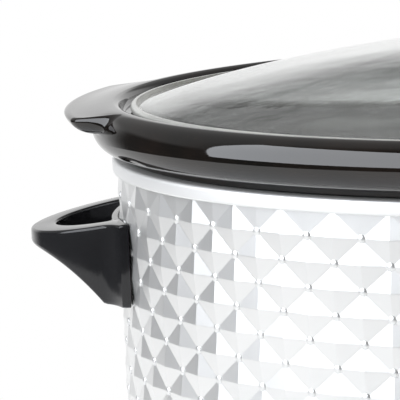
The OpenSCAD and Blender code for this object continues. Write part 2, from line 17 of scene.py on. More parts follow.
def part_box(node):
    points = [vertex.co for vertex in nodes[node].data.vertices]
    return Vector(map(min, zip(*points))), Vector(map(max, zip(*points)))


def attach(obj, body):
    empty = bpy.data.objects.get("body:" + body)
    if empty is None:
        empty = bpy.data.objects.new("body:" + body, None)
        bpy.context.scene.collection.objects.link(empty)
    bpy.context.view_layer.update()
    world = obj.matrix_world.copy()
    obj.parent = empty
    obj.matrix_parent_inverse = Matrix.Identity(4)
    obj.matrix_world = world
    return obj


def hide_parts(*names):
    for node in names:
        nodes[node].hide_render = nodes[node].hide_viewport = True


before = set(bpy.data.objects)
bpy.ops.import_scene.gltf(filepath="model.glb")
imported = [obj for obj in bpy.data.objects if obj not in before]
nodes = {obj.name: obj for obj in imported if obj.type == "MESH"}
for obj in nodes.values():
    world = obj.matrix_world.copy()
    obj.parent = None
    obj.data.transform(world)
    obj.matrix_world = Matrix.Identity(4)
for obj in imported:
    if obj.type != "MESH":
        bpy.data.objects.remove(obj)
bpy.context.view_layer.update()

MM = 0.001
print("nodes:", len(nodes))

# %% [markdown]
# The scene has to look like a catalogue picture, where grey pieces stay the grey they are.
# The Standard view transform shows a colour as it is written.

# %% Colour management
bpy.context.scene.view_settings.view_transform = "Standard"
print("view transform:", bpy.context.scene.view_settings.view_transform)

# %% [markdown]
# The camera stands far back with a long lens, so that lines hardly converge. It looks a
# little down and to the left, at the cooker's left end. Its three turns are yaw, pitch and
# roll, and the rotation matrix is built from the directions that it looks, and holds as
# right and up.

# %% Camera
camera_place = Vector((0, -1.17621, 0.34657))
camera_yaw = math.radians(-6.7205)
camera_pitch = math.radians(9.0499)
camera_roll = math.radians(-2.2782)
focal_pixels = 3508.97
frame_pixels = 400
sensor_mm = 36

forward = Vector((math.sin(camera_yaw) * math.cos(camera_pitch),
                  math.cos(camera_yaw) * math.cos(camera_pitch), -math.sin(camera_pitch)))
level_right = Vector((math.cos(camera_yaw), -math.sin(camera_yaw), 0))
level_up = level_right.cross(forward)
right = math.cos(camera_roll) * level_right + math.sin(camera_roll) * level_up
up = math.cos(camera_roll) * level_up - math.sin(camera_roll) * level_right
camera_data = bpy.data.cameras.new("camera")
camera_data.lens = focal_pixels / frame_pixels * sensor_mm
camera_data.sensor_width = sensor_mm
camera = bpy.data.objects.new("camera", camera_data)
bpy.context.scene.collection.objects.link(camera)
camera_turn = Matrix((right, up, -forward)).transposed().to_4x4()
camera.matrix_world = Matrix.Translation(camera_place) @ camera_turn
bpy.context.scene.camera = camera
print("lens:", round(camera_data.lens, 1), "mm")

# %% [markdown]
# ## Measures
# The body is an oval. Almost every visible piece follows it at some distance outwards, so
# each piece is drawn as a short profile of (distance out from the oval, height). The oval's
# two half axes come from the CAD wrap, less the height of its embossing.

# %% Oval measures, read from the frame
pyramid = 0.9 * MM
wrap_low, wrap_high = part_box("housing_shell")
half_w = wrap_high.x - pyramid
half_d = -wrap_low.y - pyramid
band_low, band_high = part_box("rim_band")
crock_low, crock_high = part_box("crock")
well_low, well_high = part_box("inner_well")
tray_low, tray_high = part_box("base_plate")
glass_low, glass_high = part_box("lid_glass")
oval_ratio = half_d / half_w
print("half axes:", round(half_w / MM, 2), round(half_d / MM, 2), "mm")


def oval_point(angle, out=0.0):
    """The point of the oval at an angle, moved outwards along the oval's own normal."""
    x, y = half_w * math.cos(angle), half_d * math.sin(angle)
    nx, ny = x / half_w**2, y / half_d**2
    length = math.hypot(nx, ny)
    return Vector((x + out * nx / length, y + out * ny / length))


# %% [markdown]
# The embossed cells are equally long around the oval, and equal angles aren't equal
# lengths. So the oval's outline is walked in small steps, and the running length gives the
# angle for any share of the way round.

# %% Equal lengths around the oval
walk_steps = 2880
walk = [oval_point(2 * math.pi * i / walk_steps) for i in range(walk_steps + 1)]
lengths = np.concatenate([[0], np.cumsum([(walk[i + 1] - walk[i]).length for i in range(walk_steps)])])
angles = np.linspace(0, 2 * math.pi, walk_steps + 1)


def angle_at(share):
    """The angle that lies at a share, from 0 to 1, of the way round."""
    return float(np.interp(share * lengths[-1], lengths, angles))


print("once round the oval:", round(lengths[-1] / MM), "mm")

# %% [markdown]
# ## Modelling helpers
# An operator works on all that is selected, so each piece starts with nothing selected. A
# ring piece starts as a circle of edges. It is scaled to the oval, and then extruded step by
# step: each step copies the ring's edges, and scales and lifts the copy to the next point of
# the profile.

# %% Helpers for swept ovals and turned pieces
merge_within = 1e-6


def select_none():
    """Leaves nothing selected, so that the next operator sees only what it makes."""
    bpy.ops.object.select_all(action="DESELECT")


def finish_mesh(piece, name, smooth_angle=40):
    """Names the piece and its mesh, turns its faces outwards and smooths all but its sharp edges."""
    bpy.ops.object.mode_set(mode="EDIT")
    bpy.ops.mesh.select_all(action="SELECT")
    bpy.ops.mesh.remove_doubles(threshold=merge_within)
    bpy.ops.mesh.normals_make_consistent(inside=False)
    bpy.ops.object.mode_set(mode="OBJECT")
    piece.name = name
    piece.data.name = name
    bpy.ops.object.shade_smooth_by_angle(angle=math.radians(smooth_angle))
    print(name, len(piece.data.polygons), "faces")
    return piece


def extrude_rings(axes, count, closed):
    """Extrudes a circle through rings of (half width, half depth, height)."""
    select_none()
    bpy.ops.mesh.primitive_circle_add(vertices=count, radius=1)
    piece = bpy.context.object
    bpy.ops.object.mode_set(mode="EDIT")
    wide, deep, height = axes[0]
    bpy.ops.transform.resize(value=(wide, deep, 1))
    bpy.ops.transform.translate(value=(0, 0, height))
    if not closed:
        bpy.ops.mesh.edge_face_add()
        bpy.ops.mesh.select_all(action="SELECT")
    for new_wide, new_deep, new_height in axes[1:]:
        if closed:
            bpy.ops.mesh.extrude_edges_move()
        else:
            bpy.ops.mesh.extrude_region_move()
        bpy.ops.transform.translate(value=(0, 0, new_height - height))
        growth = (new_wide / wide, new_deep / deep, 1)
        bpy.ops.transform.resize(value=growth, center_override=(0, 0, 0))
        wide, deep, height = new_wide, new_deep, new_height
    if closed:
        # Known fault: in vertex select mode this leaves no vertex selected, so the bridge makes
        # no faces, and the piece keeps a gap between its last ring and its first.
        mesh = bmesh.from_edit_mesh(piece.data)
        for edge in mesh.edges:
            edge.select = edge.is_boundary
        bmesh.update_edit_mesh(piece.data)
        bpy.ops.mesh.bridge_edge_loops()
    bpy.ops.object.mode_set(mode="OBJECT")
    return piece


def oval_sweep(profile, count=320, closed=False):
    """A piece that follows the oval: profile lists (distance out, height) in metres."""
    return extrude_rings([(half_w + out, half_d + out, z) for out, z in profile], count, closed)


def turned(profile, count=96, closed=False):
    """A round piece turned about the Z axis: profile lists (radius, height) in metres."""
    return extrude_rings([(r, r, z) for r, z in profile], count, closed)


def arc(x, z, radius, start, end, steps, squash=1.0):
    """Points of an arc, from start to end in degrees; squash flattens it in height."""
    turns = [math.radians(start + (end - start) * i / steps) for i in range(steps + 1)]
    return [(x + radius * math.cos(t), z + squash * radius * math.sin(t)) for t in turns]


# %% [markdown]
# ## The embossed wrap
# The wrap is thin sheet metal, pressed into a pattern of low pyramids. Each pyramid stands on
# a diamond, and where four diamonds meet a small round stud is pressed out. The net has one
# point per half cell: even points are pyramid tops, odd points are where studs stand. Every
# square of the net is split along the valley between its two studs, and the creases are
# bevelled, because pressed metal never has a knife edge. Known fault: this skin has none of
# the CAD wrap's holes, so shaft and screws cross it where the plate and the handles hide them.

# %% The wrap's net of points
columns = 96
row_step = 8.3 * MM
embossed_rows = 19
sheet_t = 1.2 * MM
crease = 0.45 * MM
top_row = band_low.z + 0.5 * MM
column_angles = [angle_at(i / columns) for i in range(columns)]


def is_stud(i, j):
    """True where a stud stands, False where a pyramid's top is."""
    return (i + j) % 2 == 1


def net_point(i, j):
    """The net's point in column i and row j, counted down from the row under the rim band."""
    out = 0.0 if j == 0 or is_stud(i, j) else pyramid
    return oval_point(column_angles[i % columns], out).to_3d() + Vector((0, 0, top_row - j * row_step))


def flat_ring(net, height):
    """A plain ring of points at a height, without embossing."""
    return [net.verts.new(oval_point(a).to_3d() + Vector((0, 0, height))) for a in column_angles]


select_none()
net = bmesh.new()
rows = [flat_ring(net, wrap_high.z)]
rows += [[net.verts.new(net_point(i, j)) for i in range(columns)] for j in range(embossed_rows + 1)]
rows += [flat_ring(net, wrap_low.z)]
for j, (upper, lower) in enumerate(zip(rows[:-1], rows[1:])):
    for i in range(columns):
        a, b = upper[i], upper[(i + 1) % columns]
        c, d = lower[i], lower[(i + 1) % columns]
        if j == 0 or j == len(rows) - 2:
            net.faces.new((a, c, d, b))
        elif is_stud(i, j - 1):
            net.faces.new((a, c, d))
            net.faces.new((a, d, b))
        else:
            net.faces.new((a, c, b))
            net.faces.new((b, c, d))
wrap_mesh = bpy.data.meshes.new("wrap")
net.to_mesh(wrap_mesh)
net.free()
wrap = bpy.data.objects.new("wrap", wrap_mesh)
bpy.context.scene.collection.objects.link(wrap)
print("net:", len(wrap_mesh.polygons), "faces")

# %% [markdown]
# Bevel rounds the creases in edit mode. Solidify then gives the sheet its thickness inwards,
# and Weighted Normal makes the large facets shade flat while the creases shade round.

# %% Creases, thickness and shading
bpy.context.view_layer.objects.active = wrap
wrap.select_set(True)
bpy.ops.object.mode_set(mode="EDIT")
bpy.ops.mesh.select_all(action="SELECT")
bpy.ops.mesh.normals_make_consistent(inside=False)
bpy.ops.mesh.select_all(action="DESELECT")
bpy.ops.mesh.edges_select_sharp(sharpness=math.radians(1.0))
bpy.ops.mesh.bevel(offset=crease, offset_type="WIDTH", segments=2, affect="EDGES")
bpy.ops.object.mode_set(mode="OBJECT")
solidify = wrap.modifiers.new("thickness", "SOLIDIFY")
solidify.thickness = sheet_t
solidify.offset = -1
bpy.ops.object.modifier_apply(modifier=solidify.name)
bpy.ops.object.shade_smooth()
weighted = wrap.modifiers.new("facets", "WEIGHTED_NORMAL")
weighted.weight = 100
bpy.ops.object.modifier_apply(modifier=weighted.name)
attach(wrap, "base")
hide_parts("housing_shell")
print("wrap:", len(wrap.data.polygons), "faces")

# %% [markdown]
# One stud is the upper part of a flattened sphere. It is modelled once, and each copy is
# turned to stand on the wall at its place, a hair sunk in.

# %% Studs
stud_r = 1.5 * MM
stud_h = 0.6 * MM
stud_sunk = 0.05 * MM
select_none()
bpy.ops.mesh.primitive_uv_sphere_add(segments=12, ring_count=8, radius=stud_r)
stud = bpy.context.object
bpy.ops.object.mode_set(mode="EDIT")
bpy.ops.transform.resize(value=(1, 1, stud_h / stud_r))
bpy.ops.mesh.select_all(action="SELECT")
bpy.ops.mesh.bisect(plane_co=(0, 0, -stud_sunk), plane_no=(0, 0, 1), clear_inner=True, use_fill=True)
bpy.ops.object.mode_set(mode="OBJECT")
bpy.ops.object.shade_smooth()
stud_field = bmesh.new()
for j in range(1, embossed_rows + 1):
    for i in range(columns):
        if is_stud(i, j):
            outwards = (oval_point(column_angles[i], MM) - oval_point(column_angles[i])).to_3d()
            turn = outwards.to_track_quat("Z", "Y").to_matrix().to_4x4()
            copy = stud.data.copy()
            copy.transform(Matrix.Translation(net_point(i, j)) @ turn)
            stud_field.from_mesh(copy)
            bpy.data.meshes.remove(copy)
stud_field.to_mesh(stud.data)
stud_field.free()
stud.name = "wrap_studs"
stud.data.name = "wrap_studs"
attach(stud, "base")
print("studs:", len(stud.data.polygons), "faces")

# %% [markdown]
# ## Rim band
# The band is rolled metal that hooks over the wrap's top edge. It is a closed profile swept
# round the oval, with a small round at its lower edge and a larger one at its shoulder.

# %% Rim band
band_t = 1.4 * MM
band_out = 2.2 * MM
band_gap = 0.3 * MM
band_hook = -3 * MM
lower_r = 0.9 * MM
upper_r = 1.3 * MM
hook_edge = 0.4 * MM
band_profile = [(band_hook, band_high.z - band_t), (band_gap, band_high.z - band_t)]
band_profile += [(band_gap, band_low.z)]
band_profile += arc(band_out - lower_r, band_low.z + lower_r, lower_r, -90, 0, 6)
band_profile += arc(band_out - upper_r, band_high.z - upper_r, upper_r, 0, 90, 8)
band_profile += [(band_hook + hook_edge, band_high.z), (band_hook, band_high.z - hook_edge)]
band = finish_mesh(oval_sweep(band_profile, closed=True), "rim_band_skin")
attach(band, "base")
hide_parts("rim_band")

# %% [markdown]
# The tray closes the bottom of the housing. It is moulded plastic with a rounded lower edge,
# and a rim that stands up inside the wrap.

# %% Tray
tray_middle = -60 * MM
tray_out = 0.4 * MM
tray_corner = 1.2 * MM
tray_floor = 10.5 * MM
tray_rim = -1.5 * MM
tray_wall = 2 * MM
tray_profile = [(tray_middle, tray_low.z), (tray_out - tray_corner - 0.4 * MM, tray_low.z)]
tray_profile += arc(tray_out - tray_corner, tray_low.z + tray_corner, tray_corner, -80, 0, 5)
tray_profile += [(tray_out, tray_floor), (tray_rim, tray_floor), (tray_rim, tray_high.z)]
tray_profile += [(tray_rim - tray_wall, tray_high.z), (tray_rim - tray_wall, tray_floor)]
tray_profile += [(tray_middle, tray_floor)]
tray = finish_mesh(oval_sweep(tray_profile), "base_tray", smooth_angle=30)
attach(tray, "base")
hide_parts("base_plate")

# %% [markdown]
# The heating well is what shows when the crock is lifted out: a thin pressed pan with a
# large round at its floor, and a flange that lies on the wrap's top edge under the band.

# %% Heating well
well_wall = -7 * MM
well_t = 0.8 * MM
well_corner = 8 * MM
well_lip_r = 1.2 * MM
flange_out = -1.6 * MM
corner_x = well_wall - well_corner
corner_z = well_low.z + well_corner
well_profile = [(corner_x, well_low.z)]
well_profile += arc(corner_x, corner_z, well_corner, -80, 0, 8)
well_profile += [(well_wall, well_high.z - well_t), (flange_out, well_high.z - well_t)]
well_profile += [(flange_out, well_high.z)]
well_profile += arc(well_wall - well_t + well_lip_r, well_high.z - well_lip_r, well_lip_r, 90, 180, 4)
well_profile += arc(corner_x, corner_z, well_corner - well_t, 0, -80, 8)
well_profile += [(corner_x - 0.5 * MM, well_low.z + well_t)]
well = finish_mesh(oval_sweep(well_profile), "well_liner", smooth_angle=50)
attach(well, "base")
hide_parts("inner_well")

# %% [markdown]
# ## The crock
# Stoneware is cast thick, and its glaze rounds every corner. Its section runs from the foot
# up the outside, over the rolled rim, down over the ledge that carries the lid, and down the
# inside. Corner cutting turns the few points of the inner and outer walls into soft curves.

# %% The crock's section


def softened(points, rounds=3):
    """Cuts the corners of an open line of points, and keeps both of its ends."""
    for _ in range(rounds):
        cut = [points[0]]
        for (x0, z0), (x1, z1) in zip(points[:-1], points[1:]):
            cut.append((0.75 * x0 + 0.25 * x1, 0.75 * z0 + 0.25 * z1))
            cut.append((0.25 * x0 + 0.75 * x1, 0.25 * z0 + 0.75 * z1))
        points = cut + [points[-1]]
    return points


rim_neck = 2.4 * MM
groove_out = -1.2 * MM
groove_edge = 0.5 * MM
rim_crest_out = 1.5 * MM
rim_bulge = 7.2 * MM
lobe_steps = 55
rim_foot = band_high.z + 0.3 * MM
lobe_low = rim_foot + rim_neck
lobe_mid = (lobe_low + crock_high.z) / 2
lobe_half = (crock_high.z - lobe_low) / 2
seat_z = crock_high.z - 4 * MM
seat_out = rim_crest_out - 3 * MM
neck_out = -9.4 * MM
wall_in = neck_out - 8 * MM
floor_in = crock_low.z + 7.5 * MM
section = softened([(neck_out - 34 * MM, crock_low.z), (neck_out - 14 * MM, crock_low.z),
                    (neck_out - 7 * MM, crock_low.z + 10 * MM), (neck_out, rim_foot - 6 * MM)])
section += [(neck_out + 1 * MM, rim_foot), (groove_out - groove_edge, rim_foot)]
section += [(groove_out, rim_foot + groove_edge), (groove_out, lobe_low - 0.2 * MM)]
section += [(groove_out + 0.4 * MM, lobe_low + 0.1 * MM)]
section += arc(rim_crest_out, lobe_mid, rim_bulge, -75, 90, lobe_steps, lobe_half / rim_bulge)
section += softened([(rim_crest_out - 0.6 * MM, crock_high.z - 0.05 * MM),
                     (rim_crest_out - 2.4 * MM, crock_high.z - 0.6 * MM),
                     (seat_out - 0.2 * MM, seat_z + 0.5 * MM), (seat_out - 1.2 * MM, seat_z)], 2)
section += [(seat_out - 9.3 * MM, seat_z)]
section += softened([(seat_out - 10 * MM, seat_z), (wall_in + 3.6 * MM, seat_z - 1.5 * MM),
                     (wall_in - 0.5 * MM, seat_z - 10 * MM), (wall_in - 5 * MM, floor_in + 22 * MM),
                     (wall_in - 8 * MM, floor_in + 1 * MM), (wall_in - 24 * MM, floor_in),
                     (wall_in - 32 * MM, floor_in)])
crock = oval_sweep(section, count=384)
print("crock section:", len(section), "points")

# %% [markdown]
# The two lugs are pulled out of the finished rim. A lug has a section of its own: an
# underside that curves out and up from the lobe, a small round shoulder, and a top that runs
# up to the crest. Each point of the rim's lobe moves towards its place on that section, by
# the share of the lug that stands at its place around the oval.

# %% The crock's lugs
lug_reach = 9 * MM
lug_half = 44 * MM
lug_runout = 8 * MM
lug_root = rim_crest_out + rim_bulge
lug_end = lug_root + lug_reach
lug_mid = crock_high.z - 2.7 * MM
under_w = 7.8 * MM
under_h = 4.7 * MM
under_slant = 1.0 * MM
shoulder_w = 2.2 * MM
shoulder_h = 1.2 * MM
nose_from = 15
nose_to = 75
nose_middle = (nose_from + nose_to) / 2
near_lobe = 5e-4


def clamp(value):
    """Keeps a value between 0 and 1."""
    return min(1.0, max(0.0, value))


def eased(share):
    """A share from 0 to 1 that starts and ends softly."""
    return share * share * (3 - 2 * share)


def lug_share(angle):
    """1 at the ends of the oval, and 0 past the lug's run-out."""
    return eased(clamp((lug_half - half_d * abs(math.sin(angle))) / lug_runout))


def lug_at(turn):
    """The lug's section as (distance out, height), by the angle in degrees around the rim's lobe."""
    under = (lug_end - under_w - under_slant, lug_mid - under_h)
    shoulder = (lug_end - shoulder_w, lug_mid + shoulder_h)
    if turn < nose_from:
        w = turn / nose_from
        return lug_root + w * (under[0] - lug_root), lobe_mid + w * (under[1] - lobe_mid)
    if turn > nose_to:
        w = (turn - nose_to) / (90 - nose_to)
        out = shoulder[0] + w * (rim_crest_out - shoulder[0])
        return out, shoulder[1] + eased(w) * (crock_high.z - shoulder[1])
    nose = math.radians(180 / (nose_to - nose_from) * (turn - nose_middle))
    rise, back = math.sin(nose), 1 - math.cos(nose)
    if turn < nose_middle:
        return lug_end - under_w * back + under_slant * rise, lug_mid + under_h * rise
    return lug_end - shoulder_w * back, lug_mid + shoulder_h * rise


for vertex in crock.data.vertices:
    x, y, z = vertex.co
    rise = (z - lobe_mid) / lobe_half
    if abs(x) > half_w / 2 and 0 < rise < 1.001:
        turn = math.asin(clamp(rise))
        out = rim_crest_out + rim_bulge * math.cos(turn)
        wide, deep = half_w + out, half_d + out
        if abs(math.hypot(x / wide, y / deep) - 1) < near_lobe:
            angle = math.atan2(y / deep, x / wide)
            share = lug_share(angle)
            lug_out, lug_z = lug_at(math.degrees(turn))
            vertex.co += share * (oval_point(angle, lug_out) - oval_point(angle, out)).to_3d()
            vertex.co.z += share * (lug_z - z)
finish_mesh(crock, "crock_glazed", smooth_angle=60)
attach(crock, "crock")
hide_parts("crock")

# %% [markdown]
# ## The lid
# The lid is pressed glass: a shallow dome with a thick, rounded edge. The glass thins from
# the middle to the edge. Its section starts at the screw hole, runs out under the dome to
# the edge, and back over the top.

# %% Lid glass
glass_t = 4 * MM
edge_glass = 1.6 * MM
edge_t = 3 * MM
edge_r = 1.5 * MM
dome_rise = 21.5 * MM
screw_hole = 3 * MM
dome_inset = 2.4 * MM
dome_sunk = 1.4 * MM
under_inset = 1.5 * MM
lid_half = glass_high.x
dome_half = lid_half - dome_inset
dome_top = glass_low.z + edge_t - dome_sunk + dome_rise
dome_r = (dome_half**2 + dome_rise**2) / (2 * dome_rise)
dome_steps = 40


def dome_line(top, radius, reach):
    """Points of a dome's section from the screw hole out to a reach, under its own top."""
    spread = [screw_hole + (reach - screw_hole) * i / dome_steps for i in range(dome_steps + 1)]
    return [(x, top - radius + math.sqrt(radius**2 - x**2)) for x in spread]


under_reach = dome_half - under_inset
under_top = dome_top - glass_t
under_fall = under_top - (dome_line(dome_top, dome_r, under_reach)[-1][1] - edge_glass)
under_r = (under_reach**2 + under_fall**2) / (2 * under_fall)
lid_section = dome_line(under_top, under_r, under_reach)
lid_section += [(lid_half - edge_r - 0.5 * MM, glass_low.z)]
lid_section += arc(lid_half - edge_r, glass_low.z + edge_r, edge_r, -80, 0, 6)
lid_section += arc(lid_half - edge_r, glass_low.z + edge_t - edge_r, edge_r, 10, 110, 7)
lid_section += dome_line(dome_top, dome_r, dome_half)[::-1]
lid = extrude_rings([(x, x * oval_ratio, z) for x, z in lid_section], 320, True)
finish_mesh(lid, "lid_dome", smooth_angle=60)
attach(lid, "lid")
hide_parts("lid_glass")

# %% [markdown]
# The lid's knob is turned: a foot, a waist for the fingers, and a wide cap with a softly
# rounded edge.

# %% Lid knob
knob_low, knob_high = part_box("lid_knob")
cap_r = knob_high.x
cap_edge_r = 2.5 * MM
crown_rise = 3.5 * MM
sole_r = 15 * MM
sole_edge = 0.8 * MM
waist_pinch = 4.5 * MM
waist_steps = 24
knob_rise = knob_high.z - knob_low.z
waist = []
for step in range(waist_steps + 1):
    u = step / waist_steps
    pinch = waist_pinch * math.sin(math.pi * min(1, u * 1.2)) * (1 - u)
    radius = sole_r - pinch + (cap_r - sole_r) * u**2.2
    waist.append((radius, knob_low.z + 1.5 * MM + (knob_rise - 7.5 * MM) * u))
cap_edge = arc(cap_r - cap_edge_r, knob_high.z - crown_rise - cap_edge_r, cap_edge_r, 10, 80, 7)
crown = [((cap_r - cap_edge_r) * u, knob_high.z - crown_rise * u * u)
         for u in (1, 0.9, 0.75, 0.6, 0.45, 0.3, 0.15, 0.05)]
knob_section = [(13.5 * MM, knob_low.z)]
knob_section += arc(sole_r - sole_edge, knob_low.z + sole_edge, sole_edge, -70, 0, 4)
lid_knob = finish_mesh(turned(knob_section + waist + cap_edge + crown), "lid_knob_grip", smooth_angle=50)
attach(lid_knob, "lid")
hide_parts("lid_knob")

# %% [markdown]
# ## Side handles
# A handle is a loop of glossy plastic. Its bar has a rounded rectangular section whose
# underside drops towards the wall, which gives the handle its skirt. The section changes all
# the way round, so the bar is lofted: one ring of points per step, and faces between them. A
# web with rounded corners closes the loop at the wall. Both are joined, and the oval of the
# wrap is cut away, so that the handle sits on the wrap without a gap.

# %% Lofting and cutting


def loft(rings, name):
    """A closed skin through rings of points, with a flat face at both ends."""
    shape = bmesh.new()
    rows = [[shape.verts.new(point) for point in ring] for ring in rings]
    for near, far in zip(rows[:-1], rows[1:]):
        for k in range(len(near)):
            after = (k + 1) % len(near)
            shape.faces.new((near[k], near[after], far[after], far[k]))
    shape.faces.new(rows[0][::-1])
    shape.faces.new(rows[-1])
    bmesh.ops.recalc_face_normals(shape, faces=shape.faces)
    mesh = bpy.data.meshes.new(name)
    shape.to_mesh(mesh)
    shape.free()
    piece = bpy.data.objects.new(name, mesh)
    bpy.context.scene.collection.objects.link(piece)
    bpy.context.view_layer.objects.active = piece
    return piece


def combine(piece, other, operation):
    """Joins, cuts or intersects a piece with another one, which is used up."""
    select_none()
    bpy.context.view_layer.objects.active = piece
    piece.select_set(True)
    modifier = piece.modifiers.new("combine", "BOOLEAN")
    modifier.operation = operation
    modifier.solver = "EXACT"
    modifier.object = other
    bpy.ops.object.modifier_apply(modifier=modifier.name)
    bpy.data.objects.remove(other)
    return piece


def bevelled(piece, width, segments=3, angle=40):
    """Rounds the sharp edges of a piece."""
    bpy.context.view_layer.objects.active = piece
    modifier = piece.modifiers.new("edges", "BEVEL")
    modifier.width = width
    modifier.segments = segments
    modifier.angle_limit = math.radians(angle)
    modifier.harden_normals = True
    bpy.ops.object.modifier_apply(modifier=modifier.name)
    return piece


# %% [markdown]
# The bar runs as half an oval from wall to wall. Its top falls gently towards the tip. Its
# underside is level at the wall and then curves up, and the outer corners flare at the root.

# %% The handle's bar
wall_gap = pyramid + 0.3 * MM
handle_top = top_row - row_step - 6.5 * MM
handle_h = 28.4 * MM
handle_fall = 6 * MM
handle_reach = 32 * MM
handle_half = 33 * MM
loop_x = half_w - 1 * MM
loop_r = handle_reach + 1 * MM
bar_w = 8.8 * MM
tip_h = 5.5 * MM
bar_corner = 1.8 * MM
top_corner = 1.0 * MM
root_flare = 8 * MM
flare_run = 8 * MM
root_x = loop_x - 3 * MM + flare_run


def bar_top_at(x):
    """Height of the bar's top, which falls towards the tip."""
    return handle_top - handle_fall * clamp((x - loop_x + 5 * MM) / (handle_reach + 5 * MM))


def bar_low_at(x):
    """Height of the bar's underside: level at the wall, then curving up to the thin tip."""
    reach = clamp((x - loop_x - 4.5 * MM) / (loop_r - 4.5 * MM))
    return handle_top - handle_h + (handle_h - handle_fall - tip_h) * (1 - (1 - reach)**1.9)


def bar_section(turn):
    """One section of the bar: a rectangle with rounded corners, at a turn around the loop."""
    ring = []
    for corner in range(4):
        outer, upper = corner in (0, 3), corner in (0, 1)
        radius = top_corner if upper else bar_corner
        inset = -radius if outer else radius - bar_w
        for step in range(7):
            angle = math.radians(corner * 90 + step * 15)
            across = loop_r + inset + radius * math.cos(angle)
            along = handle_half + inset + radius * math.cos(angle)
            x, y = loop_x + across * math.cos(turn), along * math.sin(turn)
            if outer:
                y += math.copysign(root_flare * clamp((root_x - x) / flare_run)**2, y)
            lift = radius * math.sin(angle)
            if upper:
                z = bar_top_at(x) - radius + lift
            else:
                z = bar_low_at(loop_x + loop_r * math.cos(turn)) + radius + lift
            ring.append((x, y, z))
    return ring


bar_turns = [math.radians(-106 + 212 * i / 96) for i in range(97)]
handle = loft([bar_section(turn) for turn in bar_turns], "handle_loop")
print("bar sections:", len(bar_turns))

# %% [markdown]
# The web fills the loop's foot. Its upper edge is eased in three small steps. Web and bar are
# then one piece, the wall's oval is cut out of it, and a mirrored copy is the left handle.

# %% The handle's web, and the cut that fits it to the wall
web_out = 3.4 * MM
fillet_r = 5 * MM
web_half = 27 * MM
fillet_end = 24.8 * MM
web_root = half_w * 0.9
web_steps = 72


def web_edge(y):
    """The web's outer edge at a distance y from the middle, with a rounded corner at each arm."""
    edge = (half_w + web_out) * math.sqrt(1 - (y / (half_d + web_out))**2)
    into = clamp((abs(y) - fillet_end + fillet_r) / fillet_r)
    return edge + fillet_r * (1 - math.sqrt(1 - into**2))


web_ys = [-web_half + 2 * web_half * i / web_steps for i in range(web_steps + 1)]
outline = [(web_edge(y), y) for y in web_ys] + [(web_root, web_half), (web_root, -web_half)]
web_rings = [[(x, y, handle_top - handle_h + 0.6 * MM) for x, y in outline]]
for inset, below in ((0, 0.7 * MM), (0.25 * MM, 0.2 * MM), (0.8 * MM, 0.02 * MM)):
    web_rings.append([(x - inset, y, bar_top_at(x) - below) for x, y in outline])
web = loft(web_rings, "handle_web")
handle = combine(handle, web, "UNION")
cutter_line = [(wall_gap, handle_top - 2 * handle_h), (wall_gap, handle_top + handle_h)]
wall_cutter = oval_sweep(cutter_line, count=640)
handle = combine(handle, wall_cutter, "DIFFERENCE")
finish_mesh(handle, "handle_right_loop", smooth_angle=38)
mirrored = bpy.data.objects.new("handle_left_loop", handle.data.copy())
mirrored.data.transform(Matrix.Scale(-1, 4, (1, 0, 0)))
mirrored.data.flip_normals()
mirrored.data.name = "handle_left_loop"
bpy.context.scene.collection.objects.link(mirrored)
for side, piece in (("right", handle), ("left", mirrored)):
    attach(piece, "base")
    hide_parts("handle_" + side)
print("handles:", len(handle.data.polygons), "faces each")

# %% [markdown]
# ## Feet
# The four feet are turned rubber pieces. A foot has a chamfered sole with a ring groove that
# grips the table. It is turned once, and copied to its four places.

# %% Feet
foot_r = 11 * MM
foot_inset = 38 * MM
foot_high = tray_low.z - 0.3 * MM
foot_section = [(3 * MM, 1.2 * MM), (4.5 * MM, 0.8 * MM), (6 * MM, 0.1 * MM), (6.5 * MM, 0),
                (foot_r - 2.2 * MM, 0), (foot_r - 1.4 * MM, 0.4 * MM), (foot_r - 0.3 * MM, 3 * MM)]
foot_section += [(foot_r, 3.6 * MM), (foot_r, foot_high - 0.8 * MM)]
foot_section += [(foot_r - 0.25 * MM, foot_high - 0.2 * MM), (foot_r - 0.8 * MM, foot_high)]
foot_section += [(3 * MM, foot_high)]
foot = turned(foot_section, count=64)
foot_field = bmesh.new()
for degrees in (40, 140, 220, 320):
    place = oval_point(math.radians(degrees), -foot_inset)
    copy = foot.data.copy()
    copy.transform(Matrix.Translation((place.x, place.y, 0)))
    foot_field.from_mesh(copy)
    bpy.data.meshes.remove(copy)
foot_field.to_mesh(foot.data)
foot_field.free()
finish_mesh(foot, "rubber_feet", smooth_angle=35)
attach(foot, "base")
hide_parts("feet")

# %% [markdown]
# The gland is a rubber bushing with a flange outside the wrap. It leads the mains lead out at
# the back, and the cooker is modelled without its lead. Known faults: the bore has no wall,
# and the wrap's sheet lies across it.

# %% Cord gland
control_z = wrap_low.z + 23 * MM
gland_hole = 3.6 * MM
gland_r = 6.2 * MM
gland_end = -7.2 * MM
gland_edge = 0.6 * MM
flange_r = 9.7 * MM
flange_edge = 0.5 * MM
flange_round = 1.4 * MM
gland_section = [(gland_hole, gland_end), (gland_r - gland_edge, gland_end)]
gland_section += [(gland_r, gland_end + gland_edge), (gland_r, wall_gap)]
gland_section += [(flange_r - flange_edge, wall_gap), (flange_r, wall_gap + flange_edge)]
gland_section += [(flange_r, wall_gap + 1.6 * MM)]
gland_section += arc(flange_r - flange_round, wall_gap + 1.6 * MM, flange_round, 15, 90, 5)
gland_section += [(gland_hole + 1.2 * MM, wall_gap + 3 * MM)]
gland_section += [(gland_hole + 0.4 * MM, wall_gap + 2.7 * MM), (gland_hole, wall_gap + 2 * MM)]
gland = turned(gland_section, count=72, closed=True)
gland_place = Matrix.Translation((0, half_d, control_z))
gland.data.transform(gland_place @ Matrix.Rotation(-math.pi / 2, 4, "X"))
finish_mesh(gland, "cord_bushing", smooth_angle=40)
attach(gland, "base")
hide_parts("cord_gland")

